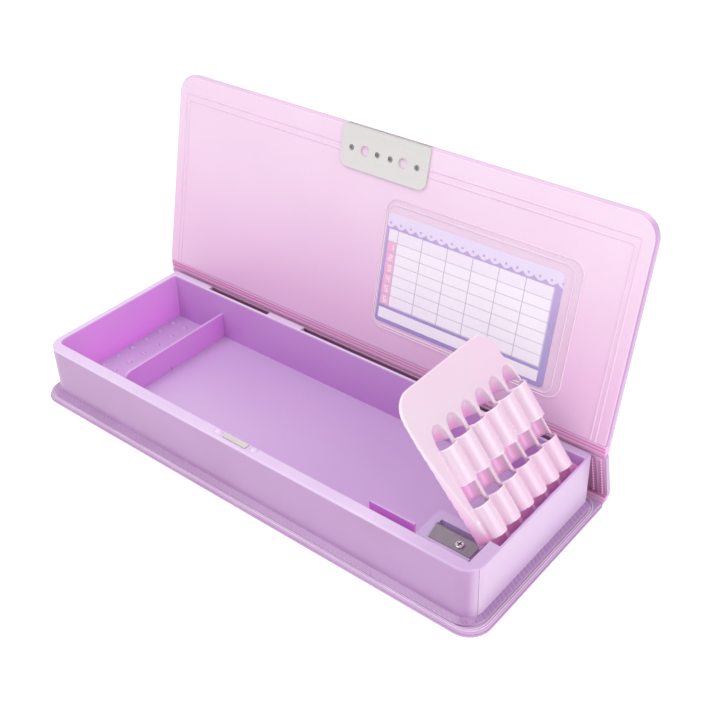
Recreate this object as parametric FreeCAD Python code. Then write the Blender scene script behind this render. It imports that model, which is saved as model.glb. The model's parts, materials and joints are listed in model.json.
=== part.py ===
import FreeCAD, Part
import math
import os

# Pencil case with a one-piece tray on a padded three-panel cover.
# Millimetres. +X runs along the length, +Y towards the cover's hinge, +Z up.
# The origin is under the tray's centre, on the surface that the case rests on.

# Tray
TRAY_LENGTH = 236.0
TRAY_FRONT_Y = -41.2
TRAY_BACK_Y = 41.0
RIM_Z = 28.4
FRONT_CORNER_RADIUS = 8.0
BACK_CORNER_RADIUS = 1.5
FRONT_RIM_WIDTH = 5.3
LEFT_WALL = 2.8
RIGHT_WALL = 1.1
BACK_SHELF_DEPTH = 3.6
BACK_WALL = 1.2
FLOOR_TOP_Z = 5.0
FLOOR_THICKNESS = 1.6
SKIN = 1.6
WALL_DRAFT = 0.3
INNER_CORNER_RADIUS = 4.0
LIP_WIDTH = 2.4
LIP_EDGE_HEIGHT = 0.8
LIP_HEIGHT = 2.2
OVERLAP = 0.6

# Cover panels
FLANGE_SIDE = 5.0
FLANGE_FRONT = 4.4
COVER_SKIN = 0.8
BASE_BOARD_THICKNESS = 1.4
BASE_BOARD_INSET = 6.0
BASE_CORNER_RADIUS = 10.0
BASE_BACK_RADIUS = 2.0
MARGIN_INSET = 0.5
MARGIN_GAP = 0.3
FOLD_GAP = 2.6
FOLD_LINE_BEHIND_TRAY = 8.2
FOLD_LINE_Z = 1.0
SPINE_ABOVE_RIM = 1.6
SPINE_TOP_BEHIND_TRAY = 1.0
SPINE_THICKNESS = 3.6
SPINE_INSET = 2.5
LID_OVERHANG = 6.1
LID_THICKNESS = 4.5
LID_OPEN_DEG = 103.6
LID_INSET = 5.0
LID_CORNER_RADIUS = 10.0
LID_PAD_RADIUS = 3.0
LID_HINGE_RADIUS = 1.2
LID_EDGE_FILLET = 1.4
LINER_FACE = 0.5
LINER_BACK = -0.1
LINER_INSET = 0.6
BOARD_THICKNESS = 1.6
SPINE_BOARD_THICKNESS = 1.4
PAD_CLEARANCE = 0.1
LEAF_THICKNESS = 0.6
LOWER_LEAF_START = 0.6
UPPER_LEAF_START = 0.45
LEAF_END_GAP = 0.1
LEAF_INSET = 1.0

# Magnetic catch
CATCH_HALF_WIDTH = 22.6
CATCH_DEPTH = 18.2
CATCH_THICKNESS = 0.9
CATCH_LIP = 0.7
CATCH_LIP_REACH = 2.4
CATCH_CORNER_RADIUS = 4.0
CATCH_EDGE_RADIUS = 0.8
CATCH_ROW_FROM_FRONT = 3.4
PIP_X = 10.0
PIP_HEIGHT = 1.15
PIP_SPHERE_RADIUS = 2.2
PIP_HOLE_RADIUS = 2.3
RIVET_XS = (-17.1, -3.4, 3.4, 17.1)
RIVET_HOLE_RADIUS = 1.3
RIVET_HEAD_RADIUS = 1.25
RIVET_HEAD_HEIGHT = 0.55
RIVET_SHANK_RADIUS = 0.8
RIVET_DIMPLE_RADIUS = 0.7
RIVET_DIMPLE_DEPTH = 0.4
FIT = 0.05
YOKE_LENGTH = 12.4
YOKE_WIDTH = 2.8
YOKE_SKIN = 0.5
YOKE_DEPTH = 9.0
YOKE_PROUD = 0.25
MAGNET_DEPTH = 8.0
MAGNET_BOSS_WALL = 1.2
RIM_RECESS = 0.3
RIM_FILLET = 0.45

# Timetable card and its pocket
POCKET_LEFT = 4.4
POCKET_WIDTH = 94.4
POCKET_TOP = 24.6
POCKET_HEIGHT = 58.6
POCKET_BORDER = 1.8
POCKET_SHEET = 0.2
POCKET_FACE = 0.94
POCKET_CORNER_RADIUS = 6.0
CARD_LEFT = 6.3
CARD_WIDTH = 84.7
CARD_TOP = 31.3
CARD_HEIGHT = 49.0
CARD_THICKNESS = 0.2
CARD_CLEARANCE = 0.02
CARD_CORNER_RADIUS = 1.5

# Left compartment
DIVIDER_FROM_END = 33.9
DIVIDER_THICKNESS = 1.3
DIVIDER_TOP_Z = 18.0
DIVIDER_FRONT_TOP_Z = 13.5
DIVIDER_SLOPE_Y = -21.5
DIVIDER_SLOPE_RUN = 5.5
BUMP_ROWS = 4
BUMP_COLUMNS = 7
BUMP_PITCH_X = 8.2
BUMP_PITCH_Y = 9.1
BUMP_FROM_END = 5.4
BUMP_FIRST_Y = 29.7
BUMP_SPHERE_RADIUS = 1.6
BUMP_HEIGHT = 0.9
NOTCH_Y = 0.4
NOTCH_WIDTH = 1.8
NOTCH_HEIGHT = 1.4

# Back shelves at the rim
LEFT_SHELF = 25.5
MIDDLE_SHELF = (-54.0, -32.5)
RIGHT_SHELF = 15.0

# Narrow slot
SLOT_FROM_END = 54.4
SLOT_LENGTH = 21.3
SLOT_WALL = 1.0
SLOT_WIDTH = 4.7
SLOT_BELOW_RIM = 2.0
SLOT_WEB_BELOW_RIM = 8.4

# Corner deck that carries the holder's front pivot
DECK_FROM_END = 5.3
DECK_BACK_Y = -23.1
DECK_SKIN = 1.6

# Pencil holder
HINGE_FROM_END = 3.63
HINGE_BELOW_RIM = 5.85
HOLDER_RAISED_DEG = 52.06
HOLDER_LENGTH = 68.0
HOLDER_LEFT_Y = -28.8
HOLDER_RIGHT_Y = 30.2
HOLDER_CORNER_RADIUS = 9.0
PLATE_TOP = 1.0
PLATE_THICKNESS = 1.2
GROOVE_COUNT = 6
GROOVE_PITCH = 9.1
GROOVES_LEFT_Y = -21.8
GROOVE_RADIUS = 3.7
GROOVE_WALL = 0.7
GROOVE_END = -0.8
SCOOPS = ((-0.8, 5.0), (19.0, 27.5))
BANDS = ((5.0, 18.5), (27.5, 43.0))
FADE_START = 44.2
FADE_CENTRE = 48.4
FADE_RISE = 1.9
TAIL_FRONT_REACH = 4.6
SHOULDER = 56.0
EAR_BACK_Y = 36.7
EAR_START = 6.2
EAR_END = 1.6
PIN_RADIUS = 1.0
PIN_CLEARANCE = 0.05
LUG_RADIUS = 1.7
LUG_LENGTH = 2.0
PIN_BITE = 1.4
REAR_PIN_BITE = 1.8
FLANGE_DROP = 4.0
FLANGE_REACH = 2.6
FLANGE_WALL = 1.0
FLANGE_RUN = 41.0
CREST_FAR_Y = -23.6

# Sharpener
SHARPENER_FROM_END = 36.7
SHARPENER_LENGTH = 24.3
SHARPENER_FRONT_Y = -25.9
SHARPENER_WIDTH = 16.5
SHARPENER_HEIGHT = 10.8
SHARPENER_CORNER = 1.0
SHARPENER_AXIS_HEIGHT = 5.4
SHARPENER_MOUTH_RADIUS = 4.0
SHARPENER_TIP_RADIUS = 0.6
SHARPENER_CONE_LENGTH = 22.5
BLADE_MARGIN_X = 3.1
BLADE_MARGIN_Y = 1.7
BLADE_LENGTH = 20.8
BLADE_WIDTH = 8.3
BLADE_SLANT = 1.9
BLADE_THICKNESS = 0.5
BLADE_CUT = 2.6
BLADE_BEVEL = 0.35
SHAVING_SLOT_WIDTH = 2.4
SCREW_FROM_RIGHT = 6.6
SCREW_OFFSET = 1.2
SCREW_HEAD_RADIUS = 2.0
SCREW_HEAD_HEIGHT = 0.8
SCREW_SHANK_RADIUS = 0.9
SCREW_SHANK_LENGTH = 3.4
SCREW_CROSS_WIDTH = 0.55
SCREW_CROSS_LENGTH = 2.3
SCREW_CROSS_DEPTH = 0.5
SEAT_RIB = 1.0
SEAT_RIB_HEIGHT = 6.0
SEAT_LOW_RIB_HEIGHT = 1.4
SEAT_CLEARANCE = 0.15

FOOT_Z = COVER_SKIN + BASE_BOARD_THICKNESS
HALF_LENGTH = TRAY_LENGTH / 2.0
FOLD_LINE_Y = TRAY_BACK_Y + FOLD_LINE_BEHIND_TRAY
SPINE_TOP_Y = TRAY_BACK_Y + SPINE_TOP_BEHIND_TRAY
SPINE_HEIGHT = RIM_Z + SPINE_ABOVE_RIM
LID_LENGTH = FOLD_LINE_Y - TRAY_FRONT_Y + LID_OVERHANG
CATCH_ROW_Y = TRAY_FRONT_Y + CATCH_ROW_FROM_FRONT
CATCH_ROW_FROM_HINGE = FOLD_LINE_Y - CATCH_ROW_Y
SLOT_TOP_Z = RIM_Z - SLOT_BELOW_RIM
SLOT_WEB_TOP_Z = RIM_Z - SLOT_WEB_BELOW_RIM
SLOT_LEFT = HALF_LENGTH - SLOT_FROM_END
DECK_LEFT_X = HALF_LENGTH - DECK_FROM_END
HINGE_X = HALF_LENGTH - HINGE_FROM_END
HINGE_Z = RIM_Z - HINGE_BELOW_RIM
SHARPENER_LEFT = HALF_LENGTH - SHARPENER_FROM_END
DIVIDER_X = DIVIDER_FROM_END - HALF_LENGTH
BUMP_FIRST_X = BUMP_FROM_END - HALF_LENGTH
SHELF_SPANS = ((-HALF_LENGTH, LEFT_SHELF - HALF_LENGTH), MIDDLE_SHELF, (HALF_LENGTH - RIGHT_SHELF, HALF_LENGTH))
COVER_HALF = HALF_LENGTH + FLANGE_SIDE
INNER_LEFT = -HALF_LENGTH + LEFT_WALL
INNER_RIGHT = HALF_LENGTH - RIGHT_WALL
INNER_FRONT = TRAY_FRONT_Y + FRONT_RIM_WIDTH
INNER_BACK = TRAY_BACK_Y - BACK_SHELF_DEPTH
SPINE_LEAN_DEG = math.degrees(math.asin((FOLD_LINE_Y - SPINE_TOP_Y) / SPINE_HEIGHT))
HOLDER_BACK_Y = GROOVES_LEFT_Y + GROOVE_COUNT * GROOVE_PITCH + 0.1
HOLDER_FRONT_Y = GROOVES_LEFT_Y - 0.4
SHARPENER_TOP_Z = FLOOR_TOP_Z + SHARPENER_HEIGHT


def vec(x, y, z):
    return FreeCAD.Vector(x, y, z)


def block(x0, x1, y0, y1, z0, z1):
    return Part.makeBox(x1 - x0, y1 - y0, z1 - z0, vec(x0, y0, z0))


def rod(radius, start, end):
    direction = end.sub(start)
    return Part.makeCylinder(radius, direction.Length, start, direction)


def outline(x0, x1, y0, y1, front_radius, back_radius, z=0.0):
    """Closed wire of a rectangle whose front and back corners are rounded."""
    corners = (
        (x0, y0, front_radius, 180.0),
        (x1, y0, front_radius, 270.0),
        (x1, y1, back_radius, 0.0),
        (x0, y1, back_radius, 90.0),
    )
    arcs = []
    for x, y, radius, start in corners:
        cx = x + radius if x == x0 else x - radius
        cy = y + radius if y == y0 else y - radius
        circle = Part.Circle(vec(cx, cy, z), vec(0, 0, 1), radius)
        arcs.append(Part.Arc(circle, math.radians(start), math.radians(start + 90.0)).toShape())
    edges = []
    for index, arc in enumerate(arcs):
        following = arcs[(index + 1) % len(arcs)]
        edges.append(arc)
        edges.append(Part.makeLine(arc.valueAt(arc.LastParameter), following.valueAt(following.FirstParameter)))
    return Part.Wire(edges)


def slab(x0, x1, y0, y1, z0, z1, front_radius, back_radius):
    face = Part.Face(outline(x0, x1, y0, y1, front_radius, back_radius, z0))
    return face.extrude(vec(0, 0, z1 - z0))


def prism(points, direction):
    face = Part.Face(Part.makePolygon(points + [points[0]]))
    return face.extrude(direction)


def fuse_all(shapes):
    return shapes[0].multiFuse(shapes[1:]).removeSplitter()


def cut_all(shape, tools):
    return shape.cut(tools).removeSplitter()


def edges_at_height(shape, z):
    found = []
    for edge in shape.Edges:
        box = edge.BoundBox
        if abs(box.ZMin - z) < 1e-4 and abs(box.ZMax - z) < 1e-4:
            found.append(edge)
    return found


def rounded_below(shape, z, radius):
    return shape.makeFillet(radius, edges_at_height(shape, z))


def on_spine(shape):
    """Panel coordinates (X, up the spine, towards the tray) to the case's own."""
    turn = FreeCAD.Rotation(vec(1, 0, 0), 90.0 + SPINE_LEAN_DEG)
    shape.Placement = FreeCAD.Placement(vec(0, FOLD_LINE_Y, FOLD_LINE_Z), turn)
    return shape


def on_lid(shape):
    """Panel coordinates (X, up the lid, towards the tray) to the case's own."""
    lean = math.radians(SPINE_LEAN_DEG)
    top = vec(0, SPINE_TOP_Y, FOLD_LINE_Z + SPINE_HEIGHT * math.cos(lean))
    turn = FreeCAD.Rotation(vec(1, 0, 0), 180.0 - LID_OPEN_DEG)
    shape.Placement = FreeCAD.Placement(top, turn)
    return shape


def on_holder(shape):
    """Holder laid flat with its pivot at the origin, to the raised place."""
    turn = FreeCAD.Rotation(vec(0, 1, 0), HOLDER_RAISED_DEG)
    shape.Placement = FreeCAD.Placement(vec(HINGE_X, 0, HINGE_Z), turn)
    return shape


# Cover, bottom panel

def base_outline(inset, z0, z1):
    back = FOLD_LINE_Y - FOLD_GAP - inset
    front = TRAY_FRONT_Y - FLANGE_FRONT + inset
    side = COVER_HALF - inset
    return slab(-side, side, front, back, z0, z1, BASE_CORNER_RADIUS - inset, BASE_BACK_RADIUS)


def base_cover():
    return base_outline(0.0, 0.0, COVER_SKIN)


def base_board():
    return base_outline(BASE_BOARD_INSET, COVER_SKIN, FOOT_Z)


def base_margin():
    outer = base_outline(MARGIN_INSET, COVER_SKIN, FOOT_Z)
    inner = base_outline(BASE_BOARD_INSET - MARGIN_GAP, COVER_SKIN - 1.0, FOOT_Z + 1.0)
    return outer.cut(inner)


# Cover, spine and lid panels

def panel(half, start, end, low, high, start_radius, end_radius):
    return slab(-half, half, start, end, low, high, start_radius, end_radius)


def hinge_leaf(start, end):
    half = COVER_HALF - LEAF_INSET
    return block(-half, half, start, end, -LEAF_THICKNESS / 2.0, LEAF_THICKNESS / 2.0)


def spine_cover():
    start = FOLD_GAP
    end = SPINE_HEIGHT - FOLD_GAP
    shell = panel(COVER_HALF, start, end, -SPINE_THICKNESS, LINER_BACK, 1.0, 1.0)
    shell = rounded_below(shell, -SPINE_THICKNESS, 0.8)
    hollow = panel(COVER_HALF - SPINE_INSET, start + SPINE_INSET, end - SPINE_INSET,
                   -SPINE_THICKNESS + COVER_SKIN, LINER_BACK + 1.0, 0.8, 0.8)
    return on_spine(shell.cut(hollow))


def spine_inner(low, high):
    half = COVER_HALF - SPINE_INSET - PAD_CLEARANCE
    start = FOLD_GAP + SPINE_INSET + PAD_CLEARANCE
    end = SPINE_HEIGHT - start
    return on_spine(panel(half, start, end, low, high, 0.7, 0.7))


def spine_board():
    return spine_inner(LINER_BACK - SPINE_BOARD_THICKNESS, LINER_BACK)


def spine_pad():
    low = -SPINE_THICKNESS + COVER_SKIN
    return spine_inner(low, LINER_BACK - SPINE_BOARD_THICKNESS)


def spine_liner():
    start = FOLD_GAP + LINER_INSET
    end = SPINE_HEIGHT - start
    liner = panel(COVER_HALF - LINER_INSET, start, end, LINER_BACK, LINER_FACE, 0.8, 0.8)
    return on_spine(liner)


def catch_notch(high):
    """Room for the steel plate's lip in the lid's free edge."""
    half = CATCH_HALF_WIDTH + FIT
    return block(-half, half, LID_LENGTH - CATCH_LIP, LID_LENGTH + 1.0, -CATCH_LIP_REACH - FIT, high)


def lid_cover():
    low = -LID_THICKNESS
    shell = panel(COVER_HALF, FOLD_GAP, LID_LENGTH, low, LINER_BACK, LID_HINGE_RADIUS, LID_CORNER_RADIUS)
    shell = rounded_below(shell, low, LID_EDGE_FILLET)
    hollow = panel(COVER_HALF - LID_INSET, FOLD_GAP + LID_INSET, LID_LENGTH - LID_INSET,
                   low + COVER_SKIN, LINER_BACK + 1.0, LID_PAD_RADIUS, LID_CORNER_RADIUS - LID_INSET)
    return on_lid(shell.cut(hollow).cut(catch_notch(1.0)))


def lid_inner(low, high):
    inset = LID_INSET + PAD_CLEARANCE
    return panel(COVER_HALF - inset, FOLD_GAP + inset, LID_LENGTH - inset, low, high,
                 LID_PAD_RADIUS - PAD_CLEARANCE, LID_CORNER_RADIUS - inset)


def rivet_holes(radius, low, high):
    row = CATCH_ROW_FROM_HINGE
    return [rod(radius, vec(x, row, low), vec(x, row, high)) for x in RIVET_XS]


def lid_board():
    low = LINER_BACK - BOARD_THICKNESS
    board = lid_inner(low, LINER_BACK)
    return on_lid(board.cut(rivet_holes(RIVET_SHANK_RADIUS + FIT, low - 1.0, LINER_BACK + 1.0)))


def lid_pad():
    return on_lid(lid_inner(-LID_THICKNESS + COVER_SKIN, LINER_BACK - BOARD_THICKNESS))


def lid_liner():
    start = FOLD_GAP + LINER_INSET
    liner = panel(COVER_HALF - LINER_INSET, start, LID_LENGTH - LINER_INSET, LINER_BACK, LINER_FACE,
                  LID_HINGE_RADIUS - LINER_INSET, LID_CORNER_RADIUS - LINER_INSET)
    holes = rivet_holes(RIVET_SHANK_RADIUS + FIT, LINER_BACK - 1.0, LINER_FACE + 1.0)
    return on_lid(liner.cut(holes + [catch_notch(LINER_FACE + 1.0)]))


# Catch plate, rivets, card pocket and card

def catch_plate():
    top = LINER_FACE + CATCH_THICKNESS
    face = slab(-CATCH_HALF_WIDTH, CATCH_HALF_WIDTH, LID_LENGTH - CATCH_DEPTH, LID_LENGTH,
                LINER_FACE, top, CATCH_CORNER_RADIUS, CATCH_EDGE_RADIUS)
    lip = block(-CATCH_HALF_WIDTH + CATCH_EDGE_RADIUS, CATCH_HALF_WIDTH - CATCH_EDGE_RADIUS,
                LID_LENGTH - CATCH_LIP + FIT, LID_LENGTH, -CATCH_LIP_REACH, top)
    row = CATCH_ROW_FROM_HINGE
    holes = rivet_holes(RIVET_HOLE_RADIUS, 0.0, top + 1.0)
    for x in (-PIP_X, PIP_X):
        holes.append(rod(PIP_HOLE_RADIUS, vec(x, row, 0.0), vec(x, row, top + 1.0)))
    return on_lid(cut_all(fuse_all([face, lip]), holes))


def plate_rivets():
    row = CATCH_ROW_FROM_HINGE
    bottom = LINER_BACK - BOARD_THICKNESS
    head_top = LINER_FACE + RIVET_HEAD_HEIGHT
    rivets = []
    for x in RIVET_XS:
        shank = rod(RIVET_SHANK_RADIUS, vec(x, row, bottom), vec(x, row, head_top))
        head = rod(RIVET_HEAD_RADIUS, vec(x, row, LINER_FACE), vec(x, row, head_top))
        dimple = rod(RIVET_DIMPLE_RADIUS, vec(x, row, head_top - RIVET_DIMPLE_DEPTH), vec(x, row, head_top + 1.0))
        rivets.append(shank.fuse(head).removeSplitter().cut(dimple))
    return on_lid(Part.makeCompound(rivets))


def card_pocket():
    right = POCKET_LEFT + POCKET_WIDTH
    top = LID_LENGTH - POCKET_TOP
    bottom = top - POCKET_HEIGHT
    sheet = slab(POCKET_LEFT, right, bottom, top, LINER_FACE, POCKET_FACE, 1.0, POCKET_CORNER_RADIUS)
    hollow = block(POCKET_LEFT + POCKET_BORDER, right + 1.0, bottom + POCKET_BORDER, top - POCKET_BORDER,
                   LINER_FACE - 1.0, POCKET_FACE - POCKET_SHEET)
    return on_lid(sheet.cut(hollow))


def timetable_card():
    top = LID_LENGTH - CARD_TOP
    low = LINER_FACE + CARD_CLEARANCE
    card = slab(CARD_LEFT, CARD_LEFT + CARD_WIDTH, top - CARD_HEIGHT, top, low, low + CARD_THICKNESS,
                CARD_CORNER_RADIUS, CARD_CORNER_RADIUS)
    return on_lid(card)


# Tray

def tray_outline(grow, z):
    return outline(-HALF_LENGTH - grow, HALF_LENGTH + grow, TRAY_FRONT_Y - grow, TRAY_BACK_Y + grow,
                   FRONT_CORNER_RADIUS + grow, BACK_CORNER_RADIUS + grow, z)


def tray_lip():
    edge_z = FOOT_Z + LIP_EDGE_HEIGHT
    foot = Part.Face(tray_outline(LIP_WIDTH, FOOT_Z)).extrude(vec(0, 0, LIP_EDGE_HEIGHT))
    slope = Part.makeLoft([tray_outline(LIP_WIDTH, edge_z), tray_outline(0.01, FOOT_Z + LIP_HEIGHT)], True, True)
    return [foot, slope]


def tray_cavity():
    floor = outline(INNER_LEFT + WALL_DRAFT, INNER_RIGHT - 0.2, INNER_FRONT + WALL_DRAFT,
                    INNER_BACK - 3.0 * WALL_DRAFT, INNER_CORNER_RADIUS - 1.0, 1.0, FLOOR_TOP_Z)
    rim = outline(INNER_LEFT, INNER_RIGHT, INNER_FRONT, INNER_BACK, INNER_CORNER_RADIUS, 1.2, RIM_Z)
    upper = outline(INNER_LEFT, INNER_RIGHT, INNER_FRONT, INNER_BACK, INNER_CORNER_RADIUS, 1.2, RIM_Z)
    opening = Part.Face(upper).extrude(vec(0, 0, 1.0))
    return [Part.makeLoft([floor, rim], True, True), opening]


def shelf_gaps():
    gaps = []
    ends = [span for span in SHELF_SPANS]
    for before, after in zip(ends[:-1], ends[1:]):
        gaps.append(block(before[1], after[0], INNER_BACK + BACK_WALL, TRAY_BACK_Y + 1.0,
                          FOOT_Z + LIP_HEIGHT, RIM_Z + 1.0))
    return gaps


def front_wall_hollows():
    """The front wall is a double skin, open at the foot, solid at the magnet."""
    y0 = TRAY_FRONT_Y + SKIN
    y1 = INNER_FRONT - SKIN + 0.2
    top = RIM_Z - SKIN
    clear = YOKE_LENGTH / 2.0 + SKIN
    left = INNER_LEFT + 2.0 * SKIN
    right = DECK_LEFT_X - SKIN
    return [block(left, -clear, y0, y1, FOOT_Z - 1.0, top), block(clear, right, y0, y1, FOOT_Z - 1.0, top)]


def floor_recesses():
    """Shallow cells under the floor with ribs between them."""
    cells = 6
    x0 = INNER_LEFT + SKIN
    x1 = DECK_LEFT_X - SKIN
    step = (x1 - x0) / cells
    top = FLOOR_TOP_Z - FLOOR_THICKNESS
    found = []
    for index in range(cells):
        left = x0 + index * step
        found.append(block(left, left + step - SKIN, INNER_FRONT + SKIN, INNER_BACK - 2.0 * SKIN,
                           FOOT_Z - 1.0, top))
    return found


def divider():
    base = FLOOR_TOP_Z - OVERLAP
    front = INNER_FRONT - OVERLAP
    back = INNER_BACK + OVERLAP
    x = DIVIDER_X
    slope_end = DIVIDER_SLOPE_Y - DIVIDER_SLOPE_RUN
    middle_y = DIVIDER_SLOPE_Y - DIVIDER_SLOPE_RUN * math.sin(math.radians(45.0))
    middle_z = DIVIDER_TOP_Z - (DIVIDER_TOP_Z - DIVIDER_FRONT_TOP_Z) * (1.0 - math.cos(math.radians(45.0)))
    corner = vec(x, DIVIDER_SLOPE_Y, DIVIDER_TOP_Z)
    low_corner = vec(x, slope_end, DIVIDER_FRONT_TOP_Z)
    arc = Part.Arc(corner, vec(x, middle_y, middle_z), low_corner).toShape()
    rest = Part.makePolygon([low_corner, vec(x, front, DIVIDER_FRONT_TOP_Z), vec(x, front, base),
                             vec(x, back, base), vec(x, back, DIVIDER_TOP_Z), corner])
    face = Part.Face(Part.Wire([arc] + rest.Edges))
    wall = face.extrude(vec(DIVIDER_THICKNESS, 0, 0))
    notch = block(x - 1.0, x + DIVIDER_THICKNESS + 1.0, NOTCH_Y - NOTCH_WIDTH / 2.0, NOTCH_Y + NOTCH_WIDTH / 2.0,
                  FLOOR_TOP_Z + 0.3, FLOOR_TOP_Z + 0.3 + NOTCH_HEIGHT)
    return wall.cut(notch)


def bumps():
    found = []
    for row in range(BUMP_ROWS):
        for column in range(BUMP_COLUMNS):
            x = BUMP_FIRST_X + row * BUMP_PITCH_X
            y = BUMP_FIRST_Y - column * BUMP_PITCH_Y
            centre = vec(x, y, FLOOR_TOP_Z + BUMP_HEIGHT - BUMP_SPHERE_RADIUS)
            ball = Part.makeSphere(BUMP_SPHERE_RADIUS, centre)
            keep = block(x - 2.0, x + 2.0, y - 2.0, y + 2.0, FLOOR_TOP_Z - 0.4, FLOOR_TOP_Z + 2.0)
            found.append(ball.common(keep))
    return found


def slot_walls():
    right = SLOT_LEFT + SLOT_LENGTH
    front = INNER_FRONT - OVERLAP
    back = INNER_FRONT + SLOT_WIDTH
    base = FLOOR_TOP_Z - OVERLAP
    partition = block(SLOT_LEFT, right, back, back + SLOT_WALL, base, SLOT_TOP_Z)
    left_web = block(SLOT_LEFT, SLOT_LEFT + SLOT_WALL, front, back + OVERLAP, base, SLOT_WEB_TOP_Z)
    right_web = block(right - SLOT_WALL, right, front, back + OVERLAP, base, SLOT_WEB_TOP_Z)
    return [partition, left_web, right_web]


def corner_deck():
    """Hollow column in the front right corner, with its top level with the rim."""
    outer = block(DECK_LEFT_X, INNER_RIGHT + OVERLAP, INNER_FRONT - OVERLAP, DECK_BACK_Y,
                  FLOOR_TOP_Z - OVERLAP, RIM_Z)
    inner = block(DECK_LEFT_X + DECK_SKIN, INNER_RIGHT - DECK_SKIN, INNER_FRONT, DECK_BACK_Y - 1.5 * DECK_SKIN,
                  FLOOR_TOP_Z - 1.0, RIM_Z - DECK_SKIN)
    return outer.cut(inner)


def pin_ends():
    """Front and back ends of the two stub pins along Y."""
    front = DECK_BACK_Y - PIN_BITE
    back = INNER_BACK + REAR_PIN_BITE
    return front, back


def pin_bores():
    front, back = pin_ends()
    radius = PIN_RADIUS + PIN_CLEARANCE
    depth_clearance = 0.3
    front_bore = rod(radius, vec(HINGE_X, front - depth_clearance, HINGE_Z), vec(HINGE_X, DECK_BACK_Y + 1.0, HINGE_Z))
    back_bore = rod(radius, vec(HINGE_X, HOLDER_BACK_Y, HINGE_Z), vec(HINGE_X, back + depth_clearance, HINGE_Z))
    return [front_bore, back_bore]


def sharpener_seat():
    base = FLOOR_TOP_Z - OVERLAP
    left = SHARPENER_LEFT - SEAT_CLEARANCE
    right = SHARPENER_LEFT + SHARPENER_LENGTH + SEAT_CLEARANCE
    front = SHARPENER_FRONT_Y - SEAT_CLEARANCE
    back = SHARPENER_FRONT_Y + SHARPENER_WIDTH + SEAT_CLEARANCE
    high = FLOOR_TOP_Z + SEAT_RIB_HEIGHT
    low = FLOOR_TOP_Z + SEAT_LOW_RIB_HEIGHT
    return [
        block(left - SEAT_RIB, left, front - SEAT_RIB, back + SEAT_RIB, base, low),
        block(right, right + SEAT_RIB, front - SEAT_RIB, back + SEAT_RIB, base, high),
        block(left - OVERLAP, right + OVERLAP, front - SEAT_RIB, front, base, high),
        block(left - OVERLAP, right + OVERLAP, back, back + SEAT_RIB, base, high),
    ]


def magnet_boss():
    half = YOKE_LENGTH / 2.0 + MAGNET_BOSS_WALL
    back = CATCH_ROW_Y + YOKE_WIDTH / 2.0 + MAGNET_BOSS_WALL
    return block(-half, half, INNER_FRONT - OVERLAP, back, FLOOR_TOP_Z - OVERLAP, RIM_Z - SKIN)


def magnet_pocket():
    half = YOKE_LENGTH / 2.0 + FIT
    y_half = YOKE_WIDTH / 2.0 + FIT
    top = RIM_Z + YOKE_PROUD
    return block(-half, half, CATCH_ROW_Y - y_half, CATCH_ROW_Y + y_half, top - YOKE_DEPTH, top + 1.0)


def rim_recess():
    half = PIP_X - PIP_SPHERE_RADIUS
    y_half = YOKE_WIDTH / 2.0 + 0.4
    return block(-half, half, CATCH_ROW_Y - y_half, CATCH_ROW_Y + y_half, RIM_Z - RIM_RECESS, RIM_Z + 1.0)


def locating_pips():
    found = []
    for x in (-PIP_X, PIP_X):
        ball = Part.makeSphere(PIP_SPHERE_RADIUS, vec(x, CATCH_ROW_Y, RIM_Z + PIP_HEIGHT - PIP_SPHERE_RADIUS))
        reach = PIP_SPHERE_RADIUS + 0.2
        keep = block(x - reach, x + reach, CATCH_ROW_Y - reach, CATCH_ROW_Y + reach, RIM_Z - 0.4, RIM_Z + 3.0)
        found.append(ball.common(keep))
    return found


def tray():
    body = Part.Face(tray_outline(0.0, FOOT_Z)).extrude(vec(0, 0, RIM_Z - FOOT_Z))
    shell = fuse_all([body] + tray_lip())
    shell = shell.cut(tray_cavity())
    shell = shell.cut(shelf_gaps()).removeSplitter()
    shell = shell.makeFillet(RIM_FILLET, edges_at_height(shell, RIM_Z))
    shell = shell.cut(front_wall_hollows() + floor_recesses())
    inside = [divider(), corner_deck(), magnet_boss()]
    inside += slot_walls() + sharpener_seat() + bumps() + locating_pips()
    shell = fuse_all([shell] + inside)
    return cut_all(shell, pin_bores() + [magnet_pocket(), rim_recess()])


def magnet_yoke():
    top = RIM_Z + YOKE_PROUD
    half = YOKE_LENGTH / 2.0
    y_half = YOKE_WIDTH / 2.0
    solid = block(-half, half, CATCH_ROW_Y - y_half, CATCH_ROW_Y + y_half, top - YOKE_DEPTH, top)
    inner = block(-half - 1.0, half + 1.0, CATCH_ROW_Y - y_half + YOKE_SKIN, CATCH_ROW_Y + y_half - YOKE_SKIN,
                  top - YOKE_DEPTH - 1.0, top - YOKE_SKIN)
    return solid.cut(inner)


def magnet():
    top = RIM_Z + YOKE_PROUD - YOKE_SKIN
    half = YOKE_LENGTH / 2.0 - FIT
    y_half = YOKE_WIDTH / 2.0 - YOKE_SKIN
    return block(-half, half, CATCH_ROW_Y - y_half, CATCH_ROW_Y + y_half, top - MAGNET_DEPTH, top)


# Pencil holder, drawn flat with its free end towards -X

def groove_centres():
    return [GROOVES_LEFT_Y + (index + 0.5) * GROOVE_PITCH for index in range(GROOVE_COUNT)]


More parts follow.
